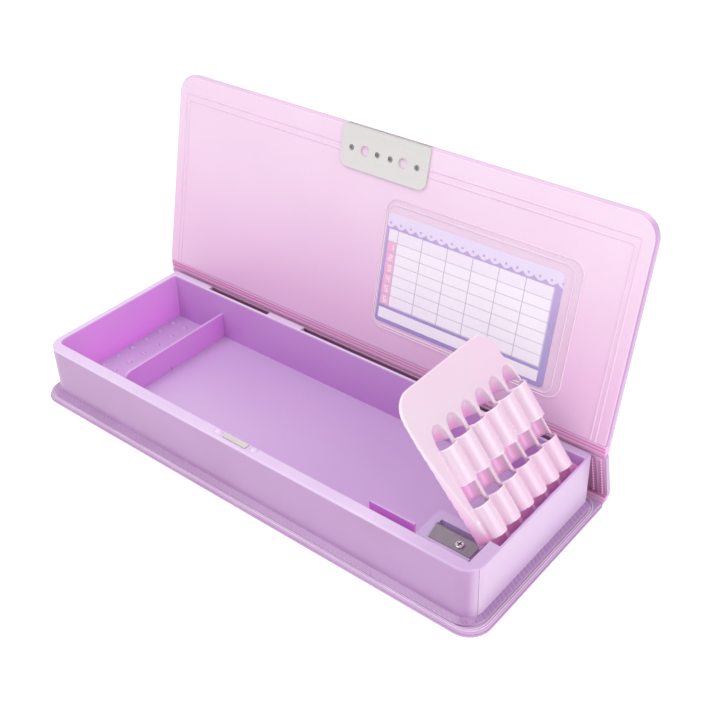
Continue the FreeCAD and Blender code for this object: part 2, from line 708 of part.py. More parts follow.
def holder_plate():
    low = PLATE_TOP - PLATE_THICKNESS
    end = -HOLDER_LENGTH
    radius = HOLDER_CORNER_RADIUS
    bend = radius * (1.0 - math.sin(math.radians(45.0)))
    front_corner = (end + radius, HOLDER_LEFT_Y)
    front_side = (end, HOLDER_LEFT_Y + radius)
    back_side = (end, HOLDER_RIGHT_Y - radius)
    back_corner = (end + radius, HOLDER_RIGHT_Y)
    front_arc = Part.Arc(vec(front_side[0], front_side[1], low), vec(end + bend, HOLDER_LEFT_Y + bend, low),
                         vec(front_corner[0], front_corner[1], low)).toShape()
    back_arc = Part.Arc(vec(back_corner[0], back_corner[1], low), vec(end + bend, HOLDER_RIGHT_Y - bend, low),
                        vec(back_side[0], back_side[1], low)).toShape()
    lower = Part.makePolygon([vec(x, y, low) for x, y in (
        front_corner,
        (-(TAIL_FRONT_REACH + FLANGE_RUN) - 2.0, HOLDER_LEFT_Y),
        (-(TAIL_FRONT_REACH + FLANGE_RUN), CREST_FAR_Y),
        (-TAIL_FRONT_REACH, HOLDER_FRONT_Y),
        (-GROOVE_END, HOLDER_FRONT_Y),
        (-GROOVE_END, EAR_BACK_Y),
        (-EAR_END, EAR_BACK_Y),
        (-EAR_START, HOLDER_BACK_Y),
        (-FADE_START, HOLDER_BACK_Y),
        (-SHOULDER, HOLDER_RIGHT_Y),
        back_corner,
    )])
    free_edge = Part.makeLine(vec(back_side[0], back_side[1], low), vec(front_side[0], front_side[1], low))
    wire = Part.Wire(lower.Edges + [back_arc, free_edge, front_arc])
    return Part.Face(wire).extrude(vec(0, 0, PLATE_THICKNESS))


def tube_between(radius, y, start, end):
    return rod(radius, vec(-end, y, PLATE_TOP), vec(-start, y, PLATE_TOP))


def fade_tube(radius, y):
    """Round-ended tube that rises out of the plate towards the free end."""
    low = vec(-FADE_START, y, PLATE_TOP)
    high = vec(-FADE_CENTRE, y, PLATE_TOP + FADE_RISE)
    back = low.sub(high.sub(low).multiply(0.3))
    return rod(radius, back, high).fuse(Part.makeSphere(radius, high)).removeSplitter()


def lower_half(y, start, end):
    big = GROOVE_RADIUS + GROOVE_WALL
    return block(-end, -start, y - big, y + big, PLATE_TOP - big - 1.0, PLATE_TOP)


def upper_half(y, start, end):
    big = GROOVE_RADIUS + GROOVE_WALL
    low = PLATE_TOP - PLATE_THICKNESS
    return block(-end, -start, y - big, y + big, low, PLATE_TOP + big + 1.0)


def triangle(a, b, c):
    return Part.Face(Part.makePolygon([a, b, c, a]))


def skin_between(near, far):
    """Solid between two four-cornered profiles, with flat triangular sides."""
    faces = []
    for index in range(4):
        following = (index + 1) % 4
        faces.append(triangle(near[index], near[following], far[following]))
        faces.append(triangle(near[index], far[following], far[index]))
    for profile in (near, far):
        faces.append(triangle(profile[0], profile[1], profile[2]))
        faces.append(triangle(profile[0], profile[2], profile[3]))
    solid = Part.makeSolid(Part.makeShell(faces))
    if solid.Volume < 0.0:
        solid.reverse()
    return solid


def side_flange():
    """Web that turns down along the holder's front edge, steeper towards the pivot."""
    top = PLATE_TOP - 0.1
    inward = 0.3
    near_x = -TAIL_FRONT_REACH
    far_x = -(TAIL_FRONT_REACH + FLANGE_RUN)
    crest = HOLDER_FRONT_Y + inward
    outer = HOLDER_FRONT_Y - FLANGE_REACH
    near = [vec(near_x, crest, top), vec(near_x, outer, top - FLANGE_DROP),
            vec(near_x, outer + FLANGE_WALL, top - FLANGE_DROP), vec(near_x, crest + FLANGE_WALL, top)]
    low = top - FLANGE_WALL
    far = [vec(far_x, CREST_FAR_Y + inward, top), vec(far_x - 2.0, HOLDER_LEFT_Y, top),
           vec(far_x - 2.0, HOLDER_LEFT_Y, low), vec(far_x, CREST_FAR_Y + inward, low)]
    return skin_between(near, far)


def pencil_holder():
    big = GROOVE_RADIUS + GROOVE_WALL
    added = [holder_plate(), side_flange()]
    removed = []
    for y in groove_centres():
        for start, end in SCOOPS:
            added.append(tube_between(big, y, start, end).common(lower_half(y, start, end)))
        for start, end in BANDS:
            added.append(tube_between(big, y, start, end).common(upper_half(y, start, end)))
        added.append(fade_tube(big, y).common(lower_half(y, FADE_START - 0.4, FADE_CENTRE + 2.0 * big)))
        removed.append(tube_between(GROOVE_RADIUS, y, GROOVE_END - 1.0, FADE_START))
        removed.append(fade_tube(GROOVE_RADIUS, y))
    front, back = pin_ends()
    added.append(rod(LUG_RADIUS, vec(0, HOLDER_FRONT_Y, 0), vec(0, HOLDER_FRONT_Y + LUG_LENGTH / 2.0, 0)))
    added.append(rod(LUG_RADIUS, vec(0, EAR_BACK_Y - LUG_LENGTH, 0), vec(0, EAR_BACK_Y, 0)))
    body = cut_all(fuse_all(added), removed)
    pins = [rod(PIN_RADIUS, vec(0, front, 0), vec(0, HOLDER_FRONT_Y + OVERLAP, 0)),
            rod(PIN_RADIUS, vec(0, EAR_BACK_Y - OVERLAP, 0), vec(0, back, 0))]
    return on_holder(fuse_all([body] + pins))


# Sharpener

def blade_place():
    left = SHARPENER_LEFT + BLADE_MARGIN_X
    front = SHARPENER_FRONT_Y + BLADE_MARGIN_Y
    return left, front


def screw_place():
    left, front = blade_place()
    return left + BLADE_LENGTH - SCREW_FROM_RIGHT, front + BLADE_WIDTH / 2.0 - SCREW_OFFSET


def sharpener_body():
    left = SHARPENER_LEFT
    right = left + SHARPENER_LENGTH
    back = SHARPENER_FRONT_Y + SHARPENER_WIDTH
    body = slab(left, right, SHARPENER_FRONT_Y, back, FLOOR_TOP_Z, SHARPENER_TOP_Z,
                SHARPENER_CORNER, SHARPENER_CORNER)
    axis_y = SHARPENER_FRONT_Y + SHARPENER_WIDTH / 2.0
    axis_z = FLOOR_TOP_Z + SHARPENER_AXIS_HEIGHT
    cone = Part.makeCone(SHARPENER_MOUTH_RADIUS, SHARPENER_TIP_RADIUS, SHARPENER_CONE_LENGTH,
                         vec(left, axis_y, axis_z), vec(1, 0, 0))
    blade_left, blade_front = blade_place()
    cutting_y = blade_front + BLADE_WIDTH
    window = block(blade_left + 0.5, left + SHARPENER_CONE_LENGTH - 1.0, cutting_y, cutting_y + SHAVING_SLOT_WIDTH,
                   axis_z, SHARPENER_TOP_Z + 1.0)
    screw_x, screw_y = screw_place()
    hole = rod(SCREW_SHANK_RADIUS + FIT, vec(screw_x, screw_y, SHARPENER_TOP_Z - SCREW_SHANK_LENGTH - FIT),
               vec(screw_x, screw_y, SHARPENER_TOP_Z + 1.0))
    return cut_all(body, [cone, window, hole])


def sharpener_blade():
    x, y = blade_place()
    bottom = SHARPENER_TOP_Z
    top = bottom + BLADE_THICKNESS
    right = x + BLADE_LENGTH
    back = y + BLADE_WIDTH
    shape = prism([vec(x + BLADE_SLANT, y, bottom), vec(right, y, bottom), vec(right, back - BLADE_CUT, bottom),
                   vec(right - BLADE_CUT, back, bottom), vec(x, back, bottom)], vec(0, 0, BLADE_THICKNESS))
    bevel = prism([vec(x - 1.0, back - 3.0 * BLADE_BEVEL, top), vec(x - 1.0, back + 0.1, top),
                   vec(x - 1.0, back + 0.1, top - BLADE_BEVEL)], vec(BLADE_LENGTH + 2.0, 0, 0))
    screw_x, screw_y = screw_place()
    hole = rod(SCREW_SHANK_RADIUS + 2.0 * FIT, vec(screw_x, screw_y, bottom - 1.0), vec(screw_x, screw_y, top + 1.0))
    return cut_all(shape, [bevel, hole])


def sharpener_screw():
    x, y = screw_place()
    seat = SHARPENER_TOP_Z + BLADE_THICKNESS
    top = seat + SCREW_HEAD_HEIGHT
    head = rod(SCREW_HEAD_RADIUS, vec(x, y, seat), vec(x, y, top))
    head = head.makeFillet(SCREW_HEAD_HEIGHT * 0.7, edges_at_height(head, top))
    shank = rod(SCREW_SHANK_RADIUS, vec(x, y, SHARPENER_TOP_Z - SCREW_SHANK_LENGTH), vec(x, y, seat + 0.1))
    half_width = SCREW_CROSS_WIDTH / 2.0
    half_length = SCREW_CROSS_LENGTH / 2.0
    low = top - SCREW_CROSS_DEPTH
    slots = [block(x - half_length, x + half_length, y - half_width, y + half_width, low, top + 1.0),
             block(x - half_width, x + half_width, y - half_length, y + half_length, low, top + 1.0)]
    return cut_all(fuse_all([head, shank]), slots)


def base_leaf():
    half = COVER_HALF - LEAF_INSET
    start = FOLD_LINE_Y - FOLD_GAP + LEAF_END_GAP
    return block(-half, half, start, FOLD_LINE_Y - LOWER_LEAF_START, FOLD_LINE_Z - LEAF_THICKNESS / 2.0,
                 FOLD_LINE_Z + LEAF_THICKNESS / 2.0)


def nodes():
    leaf_end = FOLD_GAP - LEAF_END_GAP
    return {
        "base_cover": base_cover(),
        "base_board": base_board(),
        "base_margin": base_margin(),
        "lower_hinge_base": base_leaf(),
        "lower_hinge_spine": on_spine(hinge_leaf(LOWER_LEAF_START, leaf_end)),
        "spine_cover": spine_cover(),
        "spine_pad": spine_pad(),
        "spine_board": spine_board(),
        "spine_liner": spine_liner(),
        "upper_hinge_spine": on_spine(hinge_leaf(SPINE_HEIGHT - leaf_end, SPINE_HEIGHT - UPPER_LEAF_START)),
        "upper_hinge_lid": on_lid(hinge_leaf(UPPER_LEAF_START, leaf_end)),
        "lid_cover": lid_cover(),
        "lid_pad": lid_pad(),
        "lid_board": lid_board(),
        "lid_liner": lid_liner(),
        "catch_plate": catch_plate(),
        "plate_rivets": plate_rivets(),
        "card_pocket": card_pocket(),
        "timetable_card": timetable_card(),
        "tray": tray(),
        "magnet_yoke": magnet_yoke(),
        "magnet": magnet(),
        "pencil_holder": pencil_holder(),
        "sharpener_body": sharpener_body(),
        "sharpener_blade": sharpener_blade(),
        "sharpener_screw": sharpener_screw(),
    }


os.makedirs("parts", exist_ok=True)
for name, shape in nodes().items():
    shape.exportStep("parts/" + name + ".step")
    print(name, "solids", len(shape.Solids), "valid", shape.isValid(), "volume", round(shape.Volume, 1))
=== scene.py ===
import bmesh
import bpy
import json
import math
from mathutils import Matrix, Vector

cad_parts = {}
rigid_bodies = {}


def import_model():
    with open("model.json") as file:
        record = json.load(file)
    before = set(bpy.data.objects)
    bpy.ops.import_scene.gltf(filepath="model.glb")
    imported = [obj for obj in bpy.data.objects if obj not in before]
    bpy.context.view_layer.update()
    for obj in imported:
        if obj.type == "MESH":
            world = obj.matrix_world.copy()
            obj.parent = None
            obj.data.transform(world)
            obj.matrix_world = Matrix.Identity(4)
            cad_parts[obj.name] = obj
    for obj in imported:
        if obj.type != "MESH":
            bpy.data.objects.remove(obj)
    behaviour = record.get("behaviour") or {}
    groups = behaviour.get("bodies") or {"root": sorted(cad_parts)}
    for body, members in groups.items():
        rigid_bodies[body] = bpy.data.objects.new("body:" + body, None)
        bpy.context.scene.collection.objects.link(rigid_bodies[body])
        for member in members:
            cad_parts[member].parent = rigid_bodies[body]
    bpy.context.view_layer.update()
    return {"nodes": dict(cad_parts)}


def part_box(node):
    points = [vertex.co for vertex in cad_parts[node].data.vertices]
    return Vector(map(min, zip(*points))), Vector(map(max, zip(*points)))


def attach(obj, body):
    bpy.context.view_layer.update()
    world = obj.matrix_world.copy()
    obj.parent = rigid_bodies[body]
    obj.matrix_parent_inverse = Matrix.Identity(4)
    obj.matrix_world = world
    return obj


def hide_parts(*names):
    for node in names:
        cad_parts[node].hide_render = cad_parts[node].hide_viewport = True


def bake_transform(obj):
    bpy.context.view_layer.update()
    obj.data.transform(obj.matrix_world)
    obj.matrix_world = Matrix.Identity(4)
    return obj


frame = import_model()
NODES = frame["nodes"]
MM = 0.001
IN_MM = (1000.0, 1000.0, 1000.0)

# ---- Sizes of the case, in millimetres ----

COVER_END = 123.0
BASE_FRONT = -45.6
BASE_BACK = 46.6
BASE_SKIN_TOP = 0.8
MARGIN_TOP = 2.1
MARGIN_END = COVER_END - 0.5
MARGIN_FRONT = BASE_FRONT + 0.5
MARGIN_BACK = BASE_BACK - 0.3
FOLD_END = COVER_END - 0.6
FOLD_GAP = 2.6
SPINE_HEIGHT = 30.0
LID_TOP = 96.5
HOLDER_PIN = (114.37, 22.55)
HOLDER_TILT = math.radians(52.06)
HOLDER_VOXEL = 0.4

# Panel frames: X along the case, Y up the panel from its fold, Z towards the tray
SPINE_TURN = math.radians(103.8865)
SPINE_FOLD = Vector((0.0, 49.2, 1.0)) * MM
LID_TURN = math.radians(76.4)
LID_FOLD = Vector((0.0, 42.0, 30.1232)) * MM
ON_SPINE = Matrix.Translation(SPINE_FOLD) @ Matrix.Rotation(SPINE_TURN, 4, "X")
ON_LID = Matrix.Translation(LID_FOLD) @ Matrix.Rotation(LID_TURN, 4, "X")

# Places on the tray that its finish tells apart
TRAY_INSIDE_X = (-116.0, 117.4)
TRAY_INSIDE_Y = (-37.4, 38.6)
TRAY_RIM_Z = 28.0
TRAY_FLOOR_Z = 5.0
TRAY_FOOT_X = (-117.5, 117.5)
TRAY_FOOT_Y = (-40.7, 40.5)
SLOT_BAR_X = (63.0, 85.4)
SLOT_BAR_Y = (-31.6, -29.8)

# The card's print: x along the lid, and down from the lid's free edge
CARD_DOWN = (31.3, 80.3)
SCALLOP_WIDTH = 5.2
SCALLOP_DOWN = 35.9
TABLE_X = (7.6, 87.9)
TABLE_DOWN = (38.2, 72.2)
DAY_ROW_FOOT = 43.6
NUMBERS_RIGHT = 12.3
NUMBERS_MIDDLE = 10.0
DAY_WIDTH = 12.55
PERIOD_HEIGHT = 4.72
NAME_STRIP_DOWN = (73.6, 78.4)

# The strokes of a numeral: left, right, top and foot, from its middle
STROKES = {
    "a": (-0.7, 0.7, -1.4, -1.0), "g": (-0.7, 0.7, -0.2, 0.2), "d": (-0.7, 0.7, 1.0, 1.4),
    "f": (-0.9, -0.5, -1.3, 0.0), "b": (0.5, 0.9, -1.3, 0.0),
    "e": (-0.9, -0.5, 0.0, 1.3), "c": (0.5, 0.9, 0.0, 1.3),
}
PERIOD_NUMBERS = ("bc", "abged", "abgcd", "fgbc", "afgcd", "afgedc")


def srgb(code):
    parts = [int(code[i:i + 2], 16) / 255.0 for i in (0, 2, 4)]
    return tuple(p / 12.92 if p <= 0.04045 else ((p + 0.055) / 1.055) ** 2.4 for p in parts) + (1.0,)


# ---- Working with one piece at a time ----

def let_go():
    """Deselects everything."""
    for thing in bpy.context.view_layer.objects:
        thing.select_set(False)


def work_on(piece):
    let_go()
    piece.select_set(True)
    bpy.context.view_layer.objects.active = piece


def open_edit(kind):
    bpy.ops.object.mode_set(mode="EDIT")
    bpy.ops.mesh.select_mode(type=kind)
    bpy.ops.mesh.select_all(action="DESELECT")


def close_edit():
    bpy.ops.object.mode_set(mode="OBJECT")


def pick_edges(piece, wanted):
    """Selects the edges whose two ends, in millimetres, are as wanted."""
    mesh = bmesh.from_edit_mesh(piece.data)
    bpy.ops.mesh.select_all(action="DESELECT")
    for edge in mesh.edges:
        ends = [v.co / MM for v in edge.verts]
        edge.select_set(bool(wanted(*ends)))
    mesh.select_flush_mode()
    bmesh.update_edit_mesh(piece.data)


def pick_faces(piece, wanted):
    """Selects the faces whose middle, in millimetres, is as wanted."""
    mesh = bmesh.from_edit_mesh(piece.data)
    bpy.ops.mesh.select_all(action="DESELECT")
    for face in mesh.faces:
        face.select_set(bool(wanted(face.calc_center_median() / MM)))
    mesh.select_flush_mode()
    bmesh.update_edit_mesh(piece.data)


def same(first, second):
    return abs(first - second) < 1e-3


def blank(name, ends, edges, faces):
    """A block of sheet stock cut to size."""
    let_go()
    bpy.ops.mesh.primitive_cube_add(
        size=1.0,
        location=[sum(pair) / 2 * MM for pair in (ends, edges, faces)],
        scale=[(pair[1] - pair[0]) * MM for pair in (ends, edges, faces)],
    )
    piece = bpy.context.object
    piece.name = name
    bpy.ops.object.transform_apply(location=True, rotation=True, scale=True)
    return piece


def round_corners(piece, y_edge, radius, steps):
    """Rounds the upright corners that stand at one end of the piece."""
    open_edit("EDGE")
    pick_edges(piece, lambda a, b: same(a.x, b.x) and same(a.y, b.y) and abs(a.y - y_edge) < 1e-2)
    bpy.ops.mesh.bevel(offset=radius * MM, segments=steps, affect="EDGES")
    close_edit()


def soften_rim(piece, z, radius, steps):
    open_edit("EDGE")
    pick_edges(piece, lambda a, b: same(a.z, z) and same(b.z, z))
    bpy.ops.mesh.bevel(offset=radius * MM, segments=steps, affect="EDGES")
    close_edit()


def smooth(piece, degrees=35.0):
    work_on(piece)
    bpy.ops.object.shade_smooth_by_angle(angle=math.radians(degrees))


def cut_sheet(name, ends, edges, faces, corners, rims, degrees=35.0):
    """Sheet stock with rounded corners at its lower and upper edge, and with softened rims."""
    piece = blank(name, ends, edges, faces)
    for y_edge, (radius, steps) in zip(edges, corners):
        round_corners(piece, y_edge, radius, steps)
    for z, radius, steps in rims:
        soften_rim(piece, z, radius, steps)
    smooth(piece, degrees)
    return piece


def pad_field(name, reach, edges, faces, radius):
    """The raised, foam-filled field on a panel's outer face."""
    thickness = faces[1] - faces[0]
    return cut_sheet(name, (-reach, reach), edges, faces, ((radius, 8), (radius, 8)),
                     ((faces[0], thickness * 0.9, 5),), 60.0)


def stand(piece, place):
    """Puts a piece that was made flat on its panel."""
    work_on(piece)
    piece.matrix_world = place
    bpy.ops.object.transform_apply(location=True, rotation=True, scale=True)


def flat_ring(name, ends, edges, z, radius, width):
    """A flat band that runs round a rounded rectangle, left open in edit mode."""
    let_go()
    bpy.ops.mesh.primitive_plane_add(size=1.0, location=(sum(ends) / 2 * MM, sum(edges) / 2 * MM, z * MM))
    piece = bpy.context.object
    piece.name = name
    piece.scale = ((ends[1] - ends[0]) * MM, (edges[1] - edges[0]) * MM, 1.0)
    bpy.ops.object.transform_apply(location=True, rotation=True, scale=True)
    open_edit("VERT")
    bpy.ops.mesh.select_all(action="SELECT")
    bpy.ops.mesh.bevel(offset=radius * MM, segments=6, affect="VERTICES")
    bpy.ops.mesh.select_mode(type="FACE")
    bpy.ops.mesh.select_all(action="SELECT")
    bpy.ops.mesh.inset(thickness=width * MM)
    bpy.ops.mesh.delete(type="FACE")
    return piece


def round_over(piece, z, width):
    """Bevels the two upper edges of a weld, and not the joints across its top."""
    pick_edges(piece, lambda a, b: same(a.z, z) and same(b.z, z))
    mesh = bmesh.from_edit_mesh(piece.data)
    for edge in mesh.edges:
        if edge.select and all(abs(face.normal.z) > 0.9 for face in edge.link_faces):
            edge.select_set(False)
    bmesh.update_edit_mesh(piece.data)
    bpy.ops.mesh.bevel(offset=width * 0.3 * MM, segments=2, affect="EDGES")


def open_gap(piece, gap, above):
    """Takes the part of a weld between -gap and gap away, above one height, and closes the ends."""
    for side in (-gap, gap):
        bpy.ops.mesh.select_all(action="SELECT")
        bpy.ops.mesh.bisect(plane_co=(side * MM, 0.0, 0.0), plane_no=(1.0, 0.0, 0.0))
    bpy.ops.mesh.select_mode(type="FACE")
    pick_faces(piece, lambda c: abs(c.x) < gap - 0.5 and c.y > above)
    bpy.ops.mesh.delete(type="FACE")
    bpy.ops.mesh.select_mode(type="EDGE")
    for side in (-gap, gap):
        pick_edges(piece, lambda a, b: same(a.x, side) and same(b.x, side) and a.y > above)
        bpy.ops.mesh.edge_face_add()


def weld_line(name, ends, edges, faces, radius, width, cut_y=None, gap=None):
    """A raised welded line that runs round a rounded rectangle."""
    piece = flat_ring(name, ends, edges, faces[0], radius, width)
    height = faces[1] - faces[0]
    bpy.ops.mesh.select_all(action="SELECT")
    bpy.ops.mesh.extrude_region_move(TRANSFORM_OT_translate={"value": (0.0, 0.0, height * MM)})
    bpy.ops.mesh.select_all(action="SELECT")
    bpy.ops.mesh.normals_make_consistent(inside=False)
    round_over(piece, faces[1], width)
    if cut_y is not None:
        bpy.ops.mesh.select_all(action="SELECT")
        bpy.ops.mesh.bisect(plane_co=(0.0, cut_y * MM, 0.0), plane_no=(0.0, 1.0, 0.0),
                            clear_inner=True, use_fill=True)
    if gap is not None:
        open_gap(piece, gap, sum(edges) / 2)
    close_edit()
    smooth(piece, 50.0)
    return piece


def folded_strip(name, half_length, section):
    """A strip along the case whose closed section (y, z) is drawn edge by edge."""
    let_go()
    bpy.ops.mesh.primitive_plane_add(size=1.0, location=(0.0, 0.0, 0.0))
    piece = bpy.context.object
    piece.name = name
    piece.scale = (half_length * 2 * MM, 1.0, 1.0)
    bpy.ops.object.transform_apply(location=True, rotation=True, scale=True)
    open_edit("EDGE")
    first, second = section[0], section[1]
    for side, point in ((-1, first), (1, second)):
        mesh = bmesh.from_edit_mesh(piece.data)
        bpy.ops.mesh.select_all(action="DESELECT")
        for edge in mesh.edges:
            edge.select_set(all(v.co.y * side > 0.2 and abs(abs(v.co.y) - 0.5) < 1e-6 for v in edge.verts))
        bmesh.update_edit_mesh(piece.data)
        bpy.ops.transform.translate(value=(0.0, point[0] * MM - side * 0.5, point[1] * MM))
    here = second
    for point in section[2:] + [first]:
        step = (0.0, (point[0] - here[0]) * MM, (point[1] - here[1]) * MM)
        bpy.ops.mesh.extrude_region_move(TRANSFORM_OT_translate={"value": step})
        here = point
    bpy.ops.mesh.select_all(action="SELECT")
    bpy.ops.mesh.remove_doubles(threshold=1e-6)
    end = half_length - 0.1
    for side in (-1, 1):
        pick_edges(piece, lambda a, b: a.x * side > end and b.x * side > end)
        bpy.ops.mesh.edge_face_add()
    bpy.ops.mesh.select_all(action="SELECT")
    bpy.ops.mesh.normals_make_consistent(inside=False)
    close_edit()
    smooth(piece, 50.0)
    return piece


# ---- Finishes ----

COLOUR = "NodeSocketColor"
VALUE = "NodeSocketFloat"
NORMAL = "NodeSocketVector"


class Recipe:
    """One node tree being put together."""

    def __init__(self, tree):
        self.tree = tree

    def node(self, kind, **settings):
        made = self.tree.nodes.new(kind)
        for key, value in settings.items():
            setattr(made, key, value)
        return made

    def feed(self, value, socket):
        if hasattr(value, "is_output"):
            self.tree.links.new(value, socket)
        else:
            socket.default_value = value

    def maths(self, operation, *values):
        made = self.node("ShaderNodeMath", operation=operation)
        for value, socket in zip(values, made.inputs):
            self.feed(value, socket)
        return made.outputs[0]

    def plus(self, first, *others):
        for other in others:
            first = self.maths("ADD", first, other)
        return first

    def overlap(self, first, *others):
        """Where all the masks meet: their product."""
        for other in others:
            first = self.maths("MULTIPLY", first, other)
        return first

    def either(self, first, *others):
        """Where any of the masks lies: the greatest of them."""
        for other in others:
            first = self.maths("MAXIMUM", first, other)
        return first

    def between(self, value, low, high):
        return self.overlap(self.maths("GREATER_THAN", value, low), self.maths("LESS_THAN", value, high))

    def ramp(self, value, low, high, out_low=0.0, out_high=1.0):
        made = self.node("ShaderNodeMapRange", interpolation_type="SMOOTHSTEP")
        for item, socket in zip((value, low, high, out_low, out_high), made.inputs):
            self.feed(item, socket)
        return made.outputs[0]

    def mix(self, share, first, second):
        made = self.node("ShaderNodeMix", data_type="RGBA", blend_type="MIX")
        self.feed(share, made.inputs["Factor"])
        self.feed(first, made.inputs[6])
        self.feed(second, made.inputs[7])
        return made.outputs[2]

    def place(self, turn=0.0, origin=(0.0, 0.0, 0.0), scale=(1.0, 1.0, 1.0)):
        """Coordinates on the piece, seen from a panel's own frame and then stretched."""
        spot = self.node("ShaderNodeTexCoord")
        moved = self.node("ShaderNodeMapping")
        moved.inputs["Location"].default_value = Matrix.Rotation(-turn, 3, "X") @ -Vector(origin)
        moved.inputs["Rotation"].default_value = (-turn, 0.0, 0.0)
        self.feed(spot.outputs["Object"], moved.inputs["Vector"])
        stretched = self.node("ShaderNodeMapping")
        stretched.inputs["Scale"].default_value = scale
        self.feed(moved.outputs[0], stretched.inputs["Vector"])
        return stretched.outputs[0]

    def split(self, vector):
        made = self.node("ShaderNodeSeparateXYZ")
        self.feed(vector, made.inputs[0])
        return made.outputs[0], made.outputs[1], made.outputs[2]

    def noise(self, vector, scale, detail=3.0):
        made = self.node("ShaderNodeTexNoise")
        self.feed(vector, made.inputs["Vector"])
        self.feed(scale, made.inputs["Scale"])
        made.inputs["Detail"].default_value = detail
        made.inputs["Roughness"].default_value = 0.5
        return made.outputs[0]

    def bump(self, height, distance, normal=None):
        made = self.node("ShaderNodeBump")
        made.inputs["Strength"].default_value = 1.0
        self.feed(distance, made.inputs["Distance"])
        self.feed(height, made.inputs["Height"])
        if normal is not None:
            self.feed(normal, made.inputs["Normal"])
        return made.outputs[0]


def shared(name, inputs, outputs):
    """An empty node group with named sockets, ready to be filled."""
    tree = bpy.data.node_groups.new(name, "ShaderNodeTree")
    for label, kind, value in inputs:
        socket = tree.interface.new_socket(label, in_out="INPUT", socket_type=kind)
        socket.default_value = value
    for label, kind in outputs:
        tree.interface.new_socket(label, in_out="OUTPUT", socket_type=kind)
    recipe = Recipe(tree)
    taken = recipe.node("NodeGroupInput")
    given = recipe.node("NodeGroupOutput")
    return tree, recipe, taken, given


def make_surface_grain():
    """Fine unevenness in tint, gloss and height that every moulded or rolled surface has."""
    tree, recipe, taken, given = shared(
        "Surface grain",
        (("Color", COLOUR, (0.5, 0.5, 0.5, 1.0)), ("Tint", COLOUR, (0.5, 0.5, 0.5, 1.0)),
         ("Tint Share", VALUE, 0.3), ("Patch Scale", VALUE, 40.0), ("Grain Scale", VALUE, 1500.0),
         ("Gloss", VALUE, 0.3), ("Gloss Spread", VALUE, 0.1), ("Grain Height", VALUE, 0.00002)),
        (("Color", COLOUR), ("Roughness", VALUE), ("Normal", NORMAL)),
    )
    spot = recipe.place()
    patch = recipe.noise(spot, taken.outputs["Patch Scale"], 2.0)
    fine = recipe.noise(spot, taken.outputs["Grain Scale"], 2.0)
    share = recipe.overlap(recipe.ramp(patch, 0.35, 0.65), taken.outputs["Tint Share"])
    recipe.feed(recipe.mix(share, taken.outputs["Color"], taken.outputs["Tint"]), given.inputs["Color"])
    drift = recipe.overlap(recipe.maths("SUBTRACT", patch, 0.5), taken.outputs["Gloss Spread"])
    recipe.feed(recipe.plus(taken.outputs["Gloss"], drift), given.inputs["Roughness"])
    recipe.feed(recipe.bump(fine, taken.outputs["Grain Height"]), given.inputs["Normal"])
    return tree


SURFACE_GRAIN = make_surface_grain()


def finish(name, constants=None):
    """A new finish: its recipe and its shader, with fixed values set on the shader."""
    material = bpy.data.materials.new(name)
    material.use_nodes = True
    recipe = Recipe(material.node_tree)
    shader = material.node_tree.nodes["Principled BSDF"]
    for key, value in (constants or {}).items():
        shader.inputs[key].default_value = value
    return material, recipe, shader


def grain(recipe, shader, colour, tint, share=0.3, patch=40.0, scale=1500.0, gloss=0.3, spread=0.1,
          height=0.00002):
    """Puts the shared grain in front of the shader and returns its node."""
    made = recipe.node("ShaderNodeGroup")
    made.node_tree = SURFACE_GRAIN
    values = (colour, tint, share, patch, scale, gloss, spread, height)
    for value, socket in zip(values, made.inputs):
        recipe.feed(value, socket)
    recipe.feed(made.outputs["Color"], shader.inputs["Base Color"])
    recipe.feed(made.outputs["Roughness"], shader.inputs["Roughness"])
    recipe.feed(made.outputs["Normal"], shader.inputs["Normal"])
    return made


def plain_finish(name, colour, tint, constants=None, **settings):
    material, recipe, shader = finish(name, constants)
    grain(recipe, shader, srgb(colour), srgb(tint), **settings)
    return material


def tray_inside_colour(recipe, x, y, z, nx, nz):
    """Deep lilac walls, with painted glow on the end walls and the slot's bar, over a paler floor that has a
    painted highlight towards its front left.
    """
    walls = recipe.mix(recipe.ramp(z, TRAY_FLOOR_Z, 27.0), srgb("C88BD4"), srgb("CF9ADA"))
    # Painted glow: end walls brighter pink, strongest on the left end wall and weaker from the divider
    # rightwards.
    glow = recipe.mix(recipe.ramp(z, TRAY_FLOOR_Z, 24.0), srgb("F49AF6"), srgb("EFA6F3"))
    glow = recipe.mix(recipe.ramp(x, -105.0, -90.0), glow, srgb("DC90E2"))
    walls = recipe.mix(recipe.ramp(recipe.maths("ABSOLUTE", nx), 0.5, 0.8), walls, glow)
    # Painted glow: the slot's bar is bright pink.
    bar = recipe.overlap(recipe.between(x, *SLOT_BAR_X), recipe.between(y, *SLOT_BAR_Y))
    walls = recipe.mix(bar, walls, srgb("F792F8"))
    floor = recipe.mix(recipe.ramp(x, -60.0, 80.0), srgb("C4A2D0"), srgb("CCABD8"))
    # Painted highlight: the floor pales towards its front left.
    painted_floor_highlight = recipe.overlap(recipe.ramp(y, 20.0, -36.0), recipe.ramp(x, 60.0, -70.0), 0.45)
    floor = recipe.mix(painted_floor_highlight, floor, srgb("E4D2EC"))
    return recipe.mix(recipe.ramp(nz, 0.3, 0.8), walls, floor)


def foot_weld(recipe, x, y, z, nx):
    """Slanting teeth of the weld round the tray's foot, strongest on the right."""
    slant = recipe.maths("MULTIPLY", recipe.plus(x, y, z), 2.66)
    teeth = recipe.ramp(recipe.maths("SINE", slant), -0.6, 0.6)
    band = recipe.overlap(recipe.ramp(z, 4.7, 4.3), recipe.ramp(z, 3.1, 3.4))
    within = recipe.overlap(recipe.between(x, *TRAY_FOOT_X), recipe.between(y, *TRAY_FOOT_Y))
    outside = recipe.maths("SUBTRACT", 1.0, within)
    return recipe.overlap(teeth, band, outside, recipe.ramp(nx, 0.0, 0.4, 0.35, 1.0))


